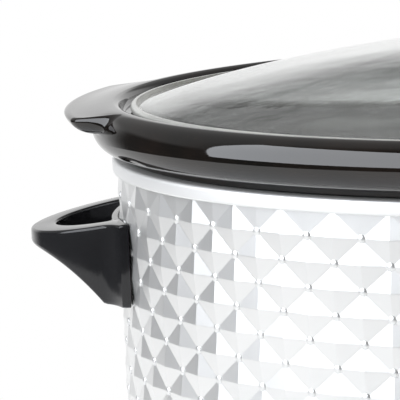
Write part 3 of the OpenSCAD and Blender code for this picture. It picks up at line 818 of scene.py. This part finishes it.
# %% [markdown]
# ## Control panel and control
# The panel is a plate bent to the oval. A ring of the oval is made first and cut with a
# rounded block, so that the plate follows the wrap exactly. Its edge is then rounded. Known
# fault: the ring has a gap, so the plate comes out 23 mm deep, with its back in the housing.

# %% Control panel
panel_t = 2 * MM
panel_w = 78 * MM
panel_h = 40 * MM
panel_corner = 10 * MM
panel_face = half_d + wall_gap + panel_t
cut_spare = 2 * MM
low_edge = control_z - panel_h / 2 - cut_spare
high_edge = control_z + panel_h / 2 + cut_spare
panel = oval_sweep([(wall_gap, low_edge), (wall_gap + panel_t, low_edge),
                    (wall_gap + panel_t, high_edge), (wall_gap, high_edge)], count=480, closed=True)
panel_outline = []
for corner in range(4):
    side_x, side_z = (1 if corner in (0, 3) else -1), (1 if corner in (0, 1) else -1)
    for step in range(13):
        angle = math.radians(corner * 90 + step * 7.5)
        x = side_x * (panel_w / 2 - panel_corner) + panel_corner * math.cos(angle)
        z = control_z + side_z * (panel_h / 2 - panel_corner) + panel_corner * math.sin(angle)
        panel_outline.append((x, z))
block_ends = (-half_d + 20 * MM, -half_d - 20 * MM)
block = loft([[(x, y, z) for x, z in panel_outline] for y in block_ends], "panel_block")
panel = combine(panel, block, "INTERSECT")
panel = bevelled(panel, 0.7 * MM)
finish_mesh(panel, "control_plate", smooth_angle=40)
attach(panel, "base")
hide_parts("control_panel")

# %% [markdown]
# The control has a fluted skirt, a raised disc and a grip bar across it. It is modelled lying
# on its back, at the origin, and then stood up against the panel. The white pointer of the
# CAD model lies in a slot of the bar.

# %% Control knob
knob_r = 17 * MM
knob_deep = 15 * MM
skirt_z = knob_deep * 0.3
skirt_round = 1.4 * MM
disc_z = knob_deep * 0.8
disc_round = 0.9 * MM
flutes = 36
flute_deep = 0.45 * MM
knob_body = [(3.2 * MM, 0), (knob_r - 0.8 * MM, 0), (knob_r, 0.6 * MM), (knob_r, skirt_z)]
knob_body += arc(knob_r - skirt_round, skirt_z, skirt_round, 15, 90, 5)
knob_body += [(knob_r - 2.9 * MM, skirt_z + 1.6 * MM), (knob_r - 3.1 * MM, disc_z)]
knob_body += arc(knob_r - 4 * MM, disc_z, disc_round, 10, 90, 4)
knob_body += [(2 * MM, disc_z + 0.8 * MM)]
knob = turned(knob_body, count=flutes * 8)
for vertex in knob.data.vertices:
    radius = math.hypot(vertex.co.x, vertex.co.y)
    if radius > knob_r - 0.9 * MM and vertex.co.z < knob_deep * 0.36:
        angle = math.atan2(vertex.co.y, vertex.co.x)
        shrink = 1 - flute_deep / radius * (0.5 + 0.5 * math.cos(flutes * angle))
        vertex.co.x *= shrink
        vertex.co.y *= shrink
print("knob skirt:", flutes, "flutes")

# %% [markdown]
# The grip bar is lofted from rings with round ends, which draw in over the top edge. It is
# joined to the body, and the pointer's slot is cut into it.

# %% Grip bar and pointer slot


def stadium(half_length, radius, z):
    """A ring with round ends around the grip bar, at a height."""
    ring = [(radius * math.cos(a), half_length + radius * math.sin(a), z)
            for a in [math.pi * i / 16 for i in range(17)]]
    return ring + [(-x, -y, z) for x, y, z in ring]


bar_round = 3.4 * MM
bar_half = knob_r - 4.5 * MM
grip_rings = [stadium(bar_half, bar_round, 4.5 * MM)]
for inset, below in ((0, 1.6 * MM), (0.15 * MM, 0.9 * MM), (0.55 * MM, 0.3 * MM), (1.2 * MM, 0)):
    grip_rings.append(stadium(bar_half, bar_round - inset, knob_deep - below))
knob = combine(knob, loft(grip_rings, "grip_bar"), "UNION")
slot_half = 0.9 * MM
slot_from = knob_r - 10 * MM
slot_to = knob_r - 2 * MM
slot_ring = [(-slot_half, slot_from), (slot_half, slot_from)]
slot_ring += [(slot_half, slot_to), (-slot_half, slot_to)]
slot_heights = (knob_deep - 0.8 * MM, knob_deep + 2 * MM)
pointer_slot = loft([[(x, y, z) for x, y in slot_ring] for z in slot_heights], "slot")
knob = combine(knob, pointer_slot, "DIFFERENCE")
knob_clear = 0.3 * MM
knob_place = Matrix.Translation((0, -panel_face - knob_clear, control_z))
knob.data.transform(knob_place @ Matrix.Rotation(math.pi / 2, 4, "X"))
finish_mesh(knob, "control_grip", smooth_angle=35)
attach(knob, "control")
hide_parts("control_knob")

# %% [markdown]
# The settings are plain numerals from 0 to 3, a quarter turn apart, printed on the panel
# round the control. Each numeral is a text object that is made a mesh, and is laid on the
# panel's face at its own place.

# %% Numerals
numeral_size = 3 * MM
numeral_t = 0.06 * MM
numeral_proud = 0.02 * MM
up_r = 18.6 * MM
side_r = 21 * MM
numerals = []
for setting, (x, rise) in enumerate([(0, up_r), (side_r, 0), (0, -up_r), (-side_r, 0)]):
    select_none()
    bpy.ops.object.text_add()
    numeral = bpy.context.object
    numeral.data.body = str(setting)
    numeral.data.size = numeral_size
    numeral.data.extrude = numeral_t
    numeral.data.align_x = "CENTER"
    numeral.data.align_y = "CENTER"
    bpy.ops.object.convert(target="MESH")
    lie_y = -panel_face * math.sqrt(1 - (x / (half_w + wall_gap + panel_t))**2)
    turn = math.atan2(x / half_w**2, -lie_y / half_d**2)
    place = Matrix.Translation((x, lie_y - numeral_proud, control_z + rise))
    numeral.data.transform(place @ Matrix.Rotation(turn, 4, "Z") @ Matrix.Rotation(math.pi / 2, 4, "X"))
    numerals.append(numeral)
for numeral in numerals:
    numeral.select_set(True)
bpy.context.view_layer.objects.active = numerals[0]
bpy.ops.object.join()
numerals[0].name = "panel_numerals"
numerals[0].data.name = "panel_numerals"
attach(numerals[0], "base")
print("numerals:", len(numerals[0].data.polygons), "faces")

# %% [markdown]
# ## Effects that materials share
# A finish is never one flat colour. Four small node groups hold the effects that come back
# in most finishes, and each material places them with its own values: colour that drifts a
# little, roughness that changes where hands and cloths have been, a grain that catches the
# light, and flecks. All of them read Object coordinates, so a pattern stays on its piece.

# %% Helpers for node trees


def add_node(tree, kind, **values):
    """Adds a node, and sets its properties and its unlinked inputs by name."""
    node = tree.nodes.new(kind)
    for key, value in values.items():
        if key in node.inputs:
            node.inputs[key].default_value = value
        else:
            setattr(node, key, value)
    return node


def soft_range(tree, low, high):
    """A Map Range node that runs softly from 0 at a low value to 1 at a high one."""
    node = add_node(tree, "ShaderNodeMapRange", interpolation_type="SMOOTHSTEP")
    node.inputs["From Min"].default_value = low
    node.inputs["From Max"].default_value = high
    return node


def new_group(name, inputs, outputs):
    """A shader node group with named sockets; gives its tree, its inputs and its outputs."""
    tree = bpy.data.node_groups.new(name, "ShaderNodeTree")
    for socket_name, (kind, default) in inputs.items():
        socket = tree.interface.new_socket(socket_name, in_out="INPUT", socket_type=kind)
        socket.default_value = default
    for socket_name, kind in outputs.items():
        tree.interface.new_socket(socket_name, in_out="OUTPUT", socket_type=kind)
    return tree, tree.nodes.new("NodeGroupInput"), tree.nodes.new("NodeGroupOutput")


def noise_in(tree, source, scale_name, detail, stretch=(1, 1, 1)):
    """Noise on Object coordinates, whose scale is an input of the group."""
    place = add_node(tree, "ShaderNodeTexCoord")
    mapping = add_node(tree, "ShaderNodeMapping")
    mapping.inputs["Scale"].default_value = stretch
    noise = add_node(tree, "ShaderNodeTexNoise", Detail=detail, Roughness=0.55)
    tree.links.new(place.outputs["Object"], mapping.inputs["Vector"])
    tree.links.new(mapping.outputs["Vector"], noise.inputs["Vector"])
    tree.links.new(source.outputs[scale_name], noise.inputs["Scale"])
    return noise


FLOAT, COLOUR = "NodeSocketFloat", "NodeSocketColor"

# %% [markdown]
# Colour drift mixes two close colours by a slow noise, so that no surface is one flat tone.

# %% Colour drift
drift, drift_in, drift_out = new_group(
    "colour_drift",
    {"Colour": (COLOUR, (0.5, 0.5, 0.5, 1)), "Other Colour": (COLOUR, (0.4, 0.4, 0.4, 1)),
     "Scale": (FLOAT, 20.0)},
    {"Colour": COLOUR})
drift_noise = noise_in(drift, drift_in, "Scale", 3)
drift_range = soft_range(drift, 0.35, 0.65)
drift_mix = add_node(drift, "ShaderNodeMix", data_type="RGBA")
drift.links.new(drift_noise.outputs["Fac"], drift_range.inputs["Value"])
drift.links.new(drift_range.outputs["Result"], drift_mix.inputs["Factor"])
drift.links.new(drift_in.outputs["Colour"], drift_mix.inputs["A"])
drift.links.new(drift_in.outputs["Other Colour"], drift_mix.inputs["B"])
drift.links.new(drift_mix.outputs["Result"], drift_out.inputs["Colour"])

# %% [markdown]
# Handled roughness is smooth where a surface is clean, and duller in patches where hands and
# cloths have been.

# %% Handled roughness
handled, handled_in, handled_out = new_group(
    "handled_roughness", {"Clean": (FLOAT, 0.2), "Handled": (FLOAT, 0.3), "Scale": (FLOAT, 15.0)},
    {"Roughness": FLOAT})
handled_noise = noise_in(handled, handled_in, "Scale", 4)
handled_range = soft_range(handled, 0.38, 0.72)
handled.links.new(handled_noise.outputs["Fac"], handled_range.inputs["Value"])
handled.links.new(handled_in.outputs["Clean"], handled_range.inputs["To Min"])
handled.links.new(handled_in.outputs["Handled"], handled_range.inputs["To Max"])
handled.links.new(handled_range.outputs["Result"], handled_out.inputs["Roughness"])

# %% [markdown]
# Grain is fine noise used as height. On brushed or rolled metal the same noise is drawn out
# sideways, which turns it into lines.

# %% Grain and brushed lines
grain, grain_in, grain_out = new_group("grain", {"Scale": (FLOAT, 800.0)}, {"Height": FLOAT})
grain.links.new(noise_in(grain, grain_in, "Scale", 5).outputs["Fac"], grain_out.inputs["Height"])
brushed, brushed_in, brushed_out = new_group(
    "brushed_lines", {"Scale": (FLOAT, 300.0)}, {"Height": FLOAT})
brushed_noise = noise_in(brushed, brushed_in, "Scale", 4, stretch=(0.04, 0.04, 6.0))
brushed.links.new(brushed_noise.outputs["Fac"], brushed_out.inputs["Height"])

# %% [markdown]
# Flecks are the small specks in a glaze or in mica. A cell pattern gives each fleck a centre,
# and the mask is 1 within a chosen distance of it.

# %% Flecks
flecks, flecks_in, flecks_out = new_group(
    "flecks", {"Scale": (FLOAT, 400.0), "Size": (FLOAT, 0.2)}, {"Mask": FLOAT})
fleck_place = add_node(flecks, "ShaderNodeTexCoord")
fleck_cells = add_node(flecks, "ShaderNodeTexVoronoi", Randomness=1.0)
fleck_test = add_node(flecks, "ShaderNodeMath", operation="LESS_THAN")
flecks.links.new(fleck_place.outputs["Object"], fleck_cells.inputs["Vector"])
flecks.links.new(flecks_in.outputs["Scale"], fleck_cells.inputs["Scale"])
flecks.links.new(fleck_cells.outputs["Distance"], fleck_test.inputs[0])
flecks.links.new(flecks_in.outputs["Size"], fleck_test.inputs[1])
flecks.links.new(fleck_test.outputs[0], flecks_out.inputs["Mask"])
print("node groups:", [g.name for g in bpy.data.node_groups])

# %% [markdown]
# One function builds a finish from these effects. The constants, such as metallic, coat and
# transmission, are set on the shader's own sockets. The bump distance is the real depth of
# the grain, in metres.

# %% The finish builder


def group_node(tree, group, **values):
    """Places a node group, with its values by name; an underscore stands for a space."""
    node = tree.nodes.new("ShaderNodeGroup")
    node.node_tree = group
    for key, value in values.items():
        node.inputs[key.replace("_", " ")].default_value = value
    return node


def finish(name, colour, other, drift_scale, clean, used, grain_group, grain_scale, depth, **constants):
    """A material with drifting colour, handled roughness and a grain of a real depth."""
    material = bpy.data.materials.new(name)
    material.use_nodes = True
    tree = material.node_tree
    shader = tree.nodes["Principled BSDF"]
    for key, value in constants.items():
        shader.inputs[key.replace("_", " ")].default_value = value
    colours = group_node(tree, drift, Colour=(*colour, 1), Other_Colour=(*other, 1), Scale=drift_scale)
    roughness = group_node(tree, handled, Clean=clean, Handled=used, Scale=drift_scale * 0.7)
    height = group_node(tree, grain_group, Scale=grain_scale)
    bump = add_node(tree, "ShaderNodeBump", Strength=1.0, Distance=depth)
    tree.links.new(colours.outputs["Colour"], shader.inputs["Base Color"])
    tree.links.new(roughness.outputs["Roughness"], shader.inputs["Roughness"])
    tree.links.new(height.outputs["Height"], bump.inputs["Height"])
    tree.links.new(bump.outputs["Normal"], shader.inputs["Normal"])
    return material


def add_flecks(material, colour, scale, size):
    """Lays flecks of another colour over a finish's own colour."""
    tree = material.node_tree
    shader = tree.nodes["Principled BSDF"]
    below = shader.inputs["Base Color"].links[0].from_socket
    mask = group_node(tree, flecks, Scale=scale, Size=size)
    mix = add_node(tree, "ShaderNodeMix", data_type="RGBA")
    mix.inputs["B"].default_value = (*colour, 1)
    tree.links.new(mask.outputs["Mask"], mix.inputs["Factor"])
    tree.links.new(below, mix.inputs["A"])
    tree.links.new(mix.outputs["Result"], shader.inputs["Base Color"])
    return material


def wear(finish_material, *pieces):
    """Gives a finish to pieces and CAD nodes, in place of whatever they wore."""
    for piece in pieces:
        item = bpy.data.objects[piece] if isinstance(piece, str) else piece
        if item.material_slots:
            for slot in item.material_slots:
                slot.material = finish_material
        else:
            item.data.materials.append(finish_material)


# %% [markdown]
# ## Metal finishes
# The wrap is bright sheet metal. Its sheen is satin rather than mirror, so each facet shows
# one soft tone. The band is the same metal, rolled smoother. The well is aluminised steel,
# whose surface shows faint crystals, and the hidden fittings are plain brushed steel.

# %% Wrap, band, well and steel
wrap_finish = finish("wrap_metal", (0.92, 0.92, 0.91), (0.87, 0.875, 0.87),
                     9, 0.34, 0.40, grain, 900, 4e-6, Metallic=0.88)
band_finish = finish("band_metal", (0.94, 0.94, 0.93), (0.91, 0.91, 0.90),
                     7, 0.50, 0.56, brushed, 160, 3e-6, Metallic=0.80)
well_finish = finish("well_metal", (0.62, 0.62, 0.61), (0.53, 0.53, 0.54),
                     60, 0.32, 0.45, grain, 260, 2e-5, Metallic=1.0)
add_flecks(well_finish, (0.68, 0.68, 0.67), 150, 0.32)
steel_finish = finish("fitting_steel", (0.58, 0.57, 0.56), (0.48, 0.48, 0.47),
                      120, 0.24, 0.42, brushed, 900, 8e-6, Metallic=1.0)
wear(wrap_finish, wrap, stud)
wear(band_finish, band)
wear(well_finish, well)
wear(steel_finish, "handle_screws", "panel_screws", "centre_stud", "centre_nut", "stud_spacers",
     "heat_shield", "fuse_clip", "switch_shaft", "lid_screw", "screw_washer")
print("metal pieces dressed")

# %% [markdown]
# ## Glaze
# The crock's glaze is black, with a warm brown where it runs thin, and fired so smooth that
# it mirrors the room. A slow unevenness, a few hundredths of a millimetre deep, is what tells
# a glaze from plastic: it bends the reflections a little.

# %% Stoneware glaze
glaze_finish = finish("black_glaze", (0.004, 0.0035, 0.003), (0.009, 0.006, 0.0045),
                      30, 0.03, 0.07, grain, 45, 6e-5, Specular_IOR_Level=0.75)
add_flecks(glaze_finish, (0.020, 0.014, 0.009), 420, 0.09)
wear(glaze_finish, crock)
print("crock wears:", crock.data.materials[0].name)

# %% [markdown]
# ## Glass
# The lid is clear pressed glass, a little green. Its rounded edge is fire polished. The edge wears
# a paler, mostly solid grey glass. This is painted light: it stands in for the light that the thick
# edge gathers and reflects, so the edge looks pale all the way round. The faces of the edge
# are picked by their place: outside the dome, in the lowest few millimetres.

# %% Lid glass and its edge
glass_finish = finish("clear_glass", (0.965, 0.985, 0.975), (0.945, 0.975, 0.96),
                      12, 0.0, 0.03, grain, 30, 3e-5, IOR=1.5, Transmission_Weight=1.0)
# Painted light: the edge's pale grey stands in for the light that the thick glass edge gathers and
# reflects.
edge_painted_light = finish("glass_edge_painted_light", (0.60, 0.60, 0.56), (0.52, 0.52, 0.49),
                     60, 0.14, 0.24, grain, 500, 1e-5, IOR=1.5, Transmission_Weight=0.25)
wear(glass_finish, lid)
lid.data.materials.append(edge_painted_light)
edge_wide = 3.4 * MM
edge_from = 1 - edge_wide / lid_half
for face in lid.data.polygons:
    reach = math.hypot(face.center.x / lid_half, face.center.y / (lid_half * oval_ratio))
    if reach > edge_from and face.center.z < glass_low.z + edge_t:
        face.material_index = 1
print("edge faces:", sum(face.material_index for face in lid.data.polygons))

# %% [markdown]
# ## Plastics and rubbers
# The handles are moulded in a polished tool, so they are black and glossy. The control and
# the lid's knob are a little duller, and the tray has the fine sandy grain of a tool that was
# blasted. Rubber is the dullest of them.

# %% Black plastics and rubbers
handle_finish = finish("handle_gloss", (0.009, 0.009, 0.010), (0.013, 0.013, 0.014),
                       25, 0.07, 0.14, grain, 70, 3e-5)
knob_finish = finish("lid_knob_satin", (0.014, 0.014, 0.015), (0.019, 0.019, 0.020),
                     40, 0.22, 0.34, grain, 900, 8e-6)
panel_finish = finish("panel_gloss", (0.012, 0.012, 0.013), (0.017, 0.017, 0.018),
                      30, 0.14, 0.24, grain, 90, 2e-5)
control_finish = finish("control_satin", (0.015, 0.015, 0.016), (0.021, 0.021, 0.022),
                        60, 0.28, 0.42, grain, 1400, 1.5e-5)
tray_finish = finish("tray_grain", (0.017, 0.017, 0.018), (0.025, 0.025, 0.026),
                     35, 0.42, 0.56, grain, 1600, 4e-5)
rubber_finish = finish("soft_rubber", (0.020, 0.020, 0.020), (0.032, 0.031, 0.030),
                       90, 0.70, 0.88, grain, 1200, 5e-5)
paint_finish = finish("printed_white", (0.78, 0.78, 0.76), (0.70, 0.70, 0.68),
                      300, 0.45, 0.60, grain, 2500, 1e-5)
wear(handle_finish, handle, mirrored)
wear(knob_finish, lid_knob)
wear(panel_finish, panel)
wear(control_finish, knob)
wear(tray_finish, tray)
wear(rubber_finish, foot, gland, "knob_washer")
wear(paint_finish, "knob_pointer", numerals[0])
print("plastic, rubber and paint dressed")

# %% [markdown]
# ## Hidden fittings
# What the housing hides is finished as well, because the pieces can be taken apart: a mica
# heater band, a felted mineral sleeve, glazed ceramic for the switch and the terminals, and
# woven glass fibre around the leads.

# %% Heater, insulation, ceramic and leads
heater_finish = finish("mica_band", (0.40, 0.29, 0.17), (0.30, 0.20, 0.11),
                       160, 0.35, 0.60, brushed, 420, 6e-5)
add_flecks(heater_finish, (0.62, 0.50, 0.34), 700, 0.22)
felt_finish = finish("mineral_felt", (0.80, 0.78, 0.72), (0.66, 0.63, 0.56),
                     220, 0.85, 0.98, grain, 650, 4e-4)
ceramic_finish = finish("ivory_ceramic", (0.76, 0.70, 0.57), (0.70, 0.63, 0.50),
                        80, 0.18, 0.30, grain, 350, 2e-5)
add_flecks(ceramic_finish, (0.50, 0.42, 0.30), 900, 0.07)
fuse_finish = finish("fuse_ceramic", (0.82, 0.80, 0.76), (0.74, 0.71, 0.66),
                     150, 0.22, 0.38, grain, 900, 1e-5)
sleeve_finish = finish("glass_fibre_sleeve", (0.80, 0.79, 0.74), (0.70, 0.68, 0.62),
                       400, 0.65, 0.85, brushed, 1500, 1.5e-4)
wear(heater_finish, "heater_band")
wear(felt_finish, "insulation_sleeve")
wear(ceramic_finish, "switch_body", "terminal_block")
wear(fuse_finish, "thermal_fuse")
wear(sleeve_finish, "inner_leads")
print("materials:", len(bpy.data.materials))

# %% [markdown]
# ## Studio
# The cooker stands on a round, pale table top, which lies a hair below its feet. It is part
# of the studio and not of the cooker.

# %% Table top
table_r = 0.75
table_drop = 0.0002
select_none()
bpy.ops.mesh.primitive_circle_add(vertices=128, radius=table_r, fill_type="NGON",
                                  location=(0, 0, -table_drop))
table = bpy.context.object
table.name = "studio_table"
print("table:", 2 * table_r, "m wide")

# %% [markdown]
# Close to the cooker the table is a plain matt surface that takes its shadow. Towards its
# edge it fades into the white of the background, but only for rays that come from the
# camera, or through glass or off metal, so the fade adds no light to the cooker.

# %% Table paper
fade_from = 0.25
fade_to = 0.45
table_finish = bpy.data.materials.new("table_paper")
table_finish.use_nodes = True
table_tree = table_finish.node_tree
table_shader = table_tree.nodes["Principled BSDF"]
table_shader.inputs["Base Color"].default_value = (0.86, 0.86, 0.86, 1)
table_shader.inputs["Roughness"].default_value = 0.9
table_shader.inputs["Specular IOR Level"].default_value = 0.1
table_place = add_node(table_tree, "ShaderNodeTexCoord")
table_away = add_node(table_tree, "ShaderNodeVectorMath", operation="LENGTH")
table_fade = soft_range(table_tree, fade_from, fade_to)
white = add_node(table_tree, "ShaderNodeEmission", Strength=1.0)
table_mix = add_node(table_tree, "ShaderNodeMixShader")


def seen_rays(tree):
    """1 for rays from the camera and for rays through glass or off a gloss, else 0."""
    rays = add_node(tree, "ShaderNodeLightPath")
    first = add_node(tree, "ShaderNodeMath", operation="MAXIMUM")
    second = add_node(tree, "ShaderNodeMath", operation="MAXIMUM")
    tree.links.new(rays.outputs["Is Camera Ray"], first.inputs[0])
    tree.links.new(rays.outputs["Is Transmission Ray"], first.inputs[1])
    tree.links.new(first.outputs[0], second.inputs[0])
    tree.links.new(rays.outputs["Is Glossy Ray"], second.inputs[1])
    return rays, first.outputs[0], second.outputs[0]


table_seen = seen_rays(table_tree)[2]
table_share = add_node(table_tree, "ShaderNodeMath", operation="MULTIPLY")
table_output = table_tree.nodes["Material Output"]
table_tree.links.new(table_place.outputs["Object"], table_away.inputs[0])
table_tree.links.new(table_away.outputs["Value"], table_fade.inputs["Value"])
table_tree.links.new(table_fade.outputs["Result"], table_share.inputs[0])
table_tree.links.new(table_seen, table_share.inputs[1])
table_tree.links.new(table_share.outputs[0], table_mix.inputs["Fac"])
table_tree.links.new(table_shader.outputs["BSDF"], table_mix.inputs[1])
table_tree.links.new(white.outputs["Emission"], table_mix.inputs[2])
table_tree.links.new(table_mix.outputs["Shader"], table_output.inputs["Surface"])
table.data.materials.append(table_finish)
print("table wears:", table_finish.name)

# %% [markdown]
# The world is the room. What gloss and metal mirror in it is dark grey, because bright metal
# has no form without something darker to mirror. Low behind the cooker stands a white paper
# wall, and the rear part of the ceiling is paler. Y points to the back, and Z points up.

# %% What gloss mirrors in the room
world = bpy.data.worlds.new("room")
bpy.context.scene.world = world
world.use_nodes = True
room = world.node_tree
grey_level = 0.06
ceiling_level = 0.33
direction = add_node(room, "ShaderNodeTexCoord")
parts = add_node(room, "ShaderNodeSeparateXYZ")
behind = soft_range(room, 0.5, 0.85)
above = soft_range(room, 0.22, 0.36)
rear = soft_range(room, -0.25, 0.25)
above_rear = add_node(room, "ShaderNodeMath", operation="MULTIPLY")
paper = add_node(room, "ShaderNodeMix", data_type="FLOAT")
paper.inputs["A"].default_value = grey_level
paper.inputs["B"].default_value = 1.0
ceiling = add_node(room, "ShaderNodeMix", data_type="FLOAT")
ceiling.inputs["B"].default_value = ceiling_level
room.links.new(direction.outputs["Generated"], parts.inputs["Vector"])
room.links.new(parts.outputs["Y"], behind.inputs["Value"])
room.links.new(parts.outputs["Z"], above.inputs["Value"])
room.links.new(behind.outputs["Result"], paper.inputs["Factor"])
room.links.new(parts.outputs["Y"], rear.inputs["Value"])
room.links.new(above.outputs["Result"], above_rear.inputs[0])
room.links.new(rear.outputs["Result"], above_rear.inputs[1])
room.links.new(above_rear.outputs[0], ceiling.inputs["Factor"])
room.links.new(paper.outputs["Result"], ceiling.inputs["A"])
print("room levels:", grey_level, ceiling_level)

# %% [markdown]
# The camera sees plain white all round, and so does glass. Gloss and metal see the room, and
# matt surfaces get an even, soft light.

# %% What each kind of ray sees
matt_level = 0.40
room_light = room.nodes["Background"]
room_light.inputs["Color"].default_value = (1, 1, 1, 1)
mirrored_level = add_node(room, "ShaderNodeMix", data_type="FLOAT")
mirrored_level.inputs["A"].default_value = matt_level
seen_level = add_node(room, "ShaderNodeMix", data_type="FLOAT")
seen_level.inputs["B"].default_value = 1.0
room_rays, straight_rays, _ = seen_rays(room)
room.links.new(room_rays.outputs["Is Glossy Ray"], mirrored_level.inputs["Factor"])
room.links.new(ceiling.outputs["Result"], mirrored_level.inputs["B"])
room.links.new(straight_rays, seen_level.inputs["Factor"])
room.links.new(mirrored_level.outputs["Result"], seen_level.inputs["A"])
room.links.new(seen_level.outputs["Result"], room_light.inputs["Strength"])
print("matt level:", matt_level)

# %% [markdown]
# Two large soft boxes stand left and right in front of the cooker. The left one is the key:
# its long reflection lies along the crock's rim. A small lamp overhead settles the shadow
# under the cooker, and shows in no reflection.

# %% Soft boxes


def soft_box(name, azimuth, elevation, distance, width, height, level, tint):
    """A square lamp that faces the cooker; level is the brightness that a mirror would show."""
    data = bpy.data.lights.new(name, "AREA")
    data.shape = "RECTANGLE"
    data.size = width
    data.size_y = height
    data.energy = level * math.pi * width * height
    data.color = tint
    lamp = bpy.data.objects.new(name, data)
    bpy.context.scene.collection.objects.link(lamp)
    a, e = math.radians(azimuth), math.radians(elevation)
    towards = Vector((math.cos(e) * math.cos(a), math.cos(e) * math.sin(a), math.sin(e)))
    target = Vector((0, 0, 0.15))
    lamp.location = target + distance * towards
    lamp.rotation_euler = towards.to_track_quat("Z", "Y").to_euler()
    return lamp


key = soft_box("key_box", 213, 27, 1.6, 1.6, 1.65, 4.0, (0.92, 0.95, 1.0))
fill = soft_box("fill_box", 330, 32, 1.8, 1.1, 1.2, 1.5, (1.0, 0.99, 0.97))
overhead = soft_box("overhead_box", 90, 84, 1.6, 0.9, 0.6, 1.2, (1.0, 1.0, 1.0))
overhead.visible_glossy = False
print("lamps:", key.name, fill.name, overhead.name)
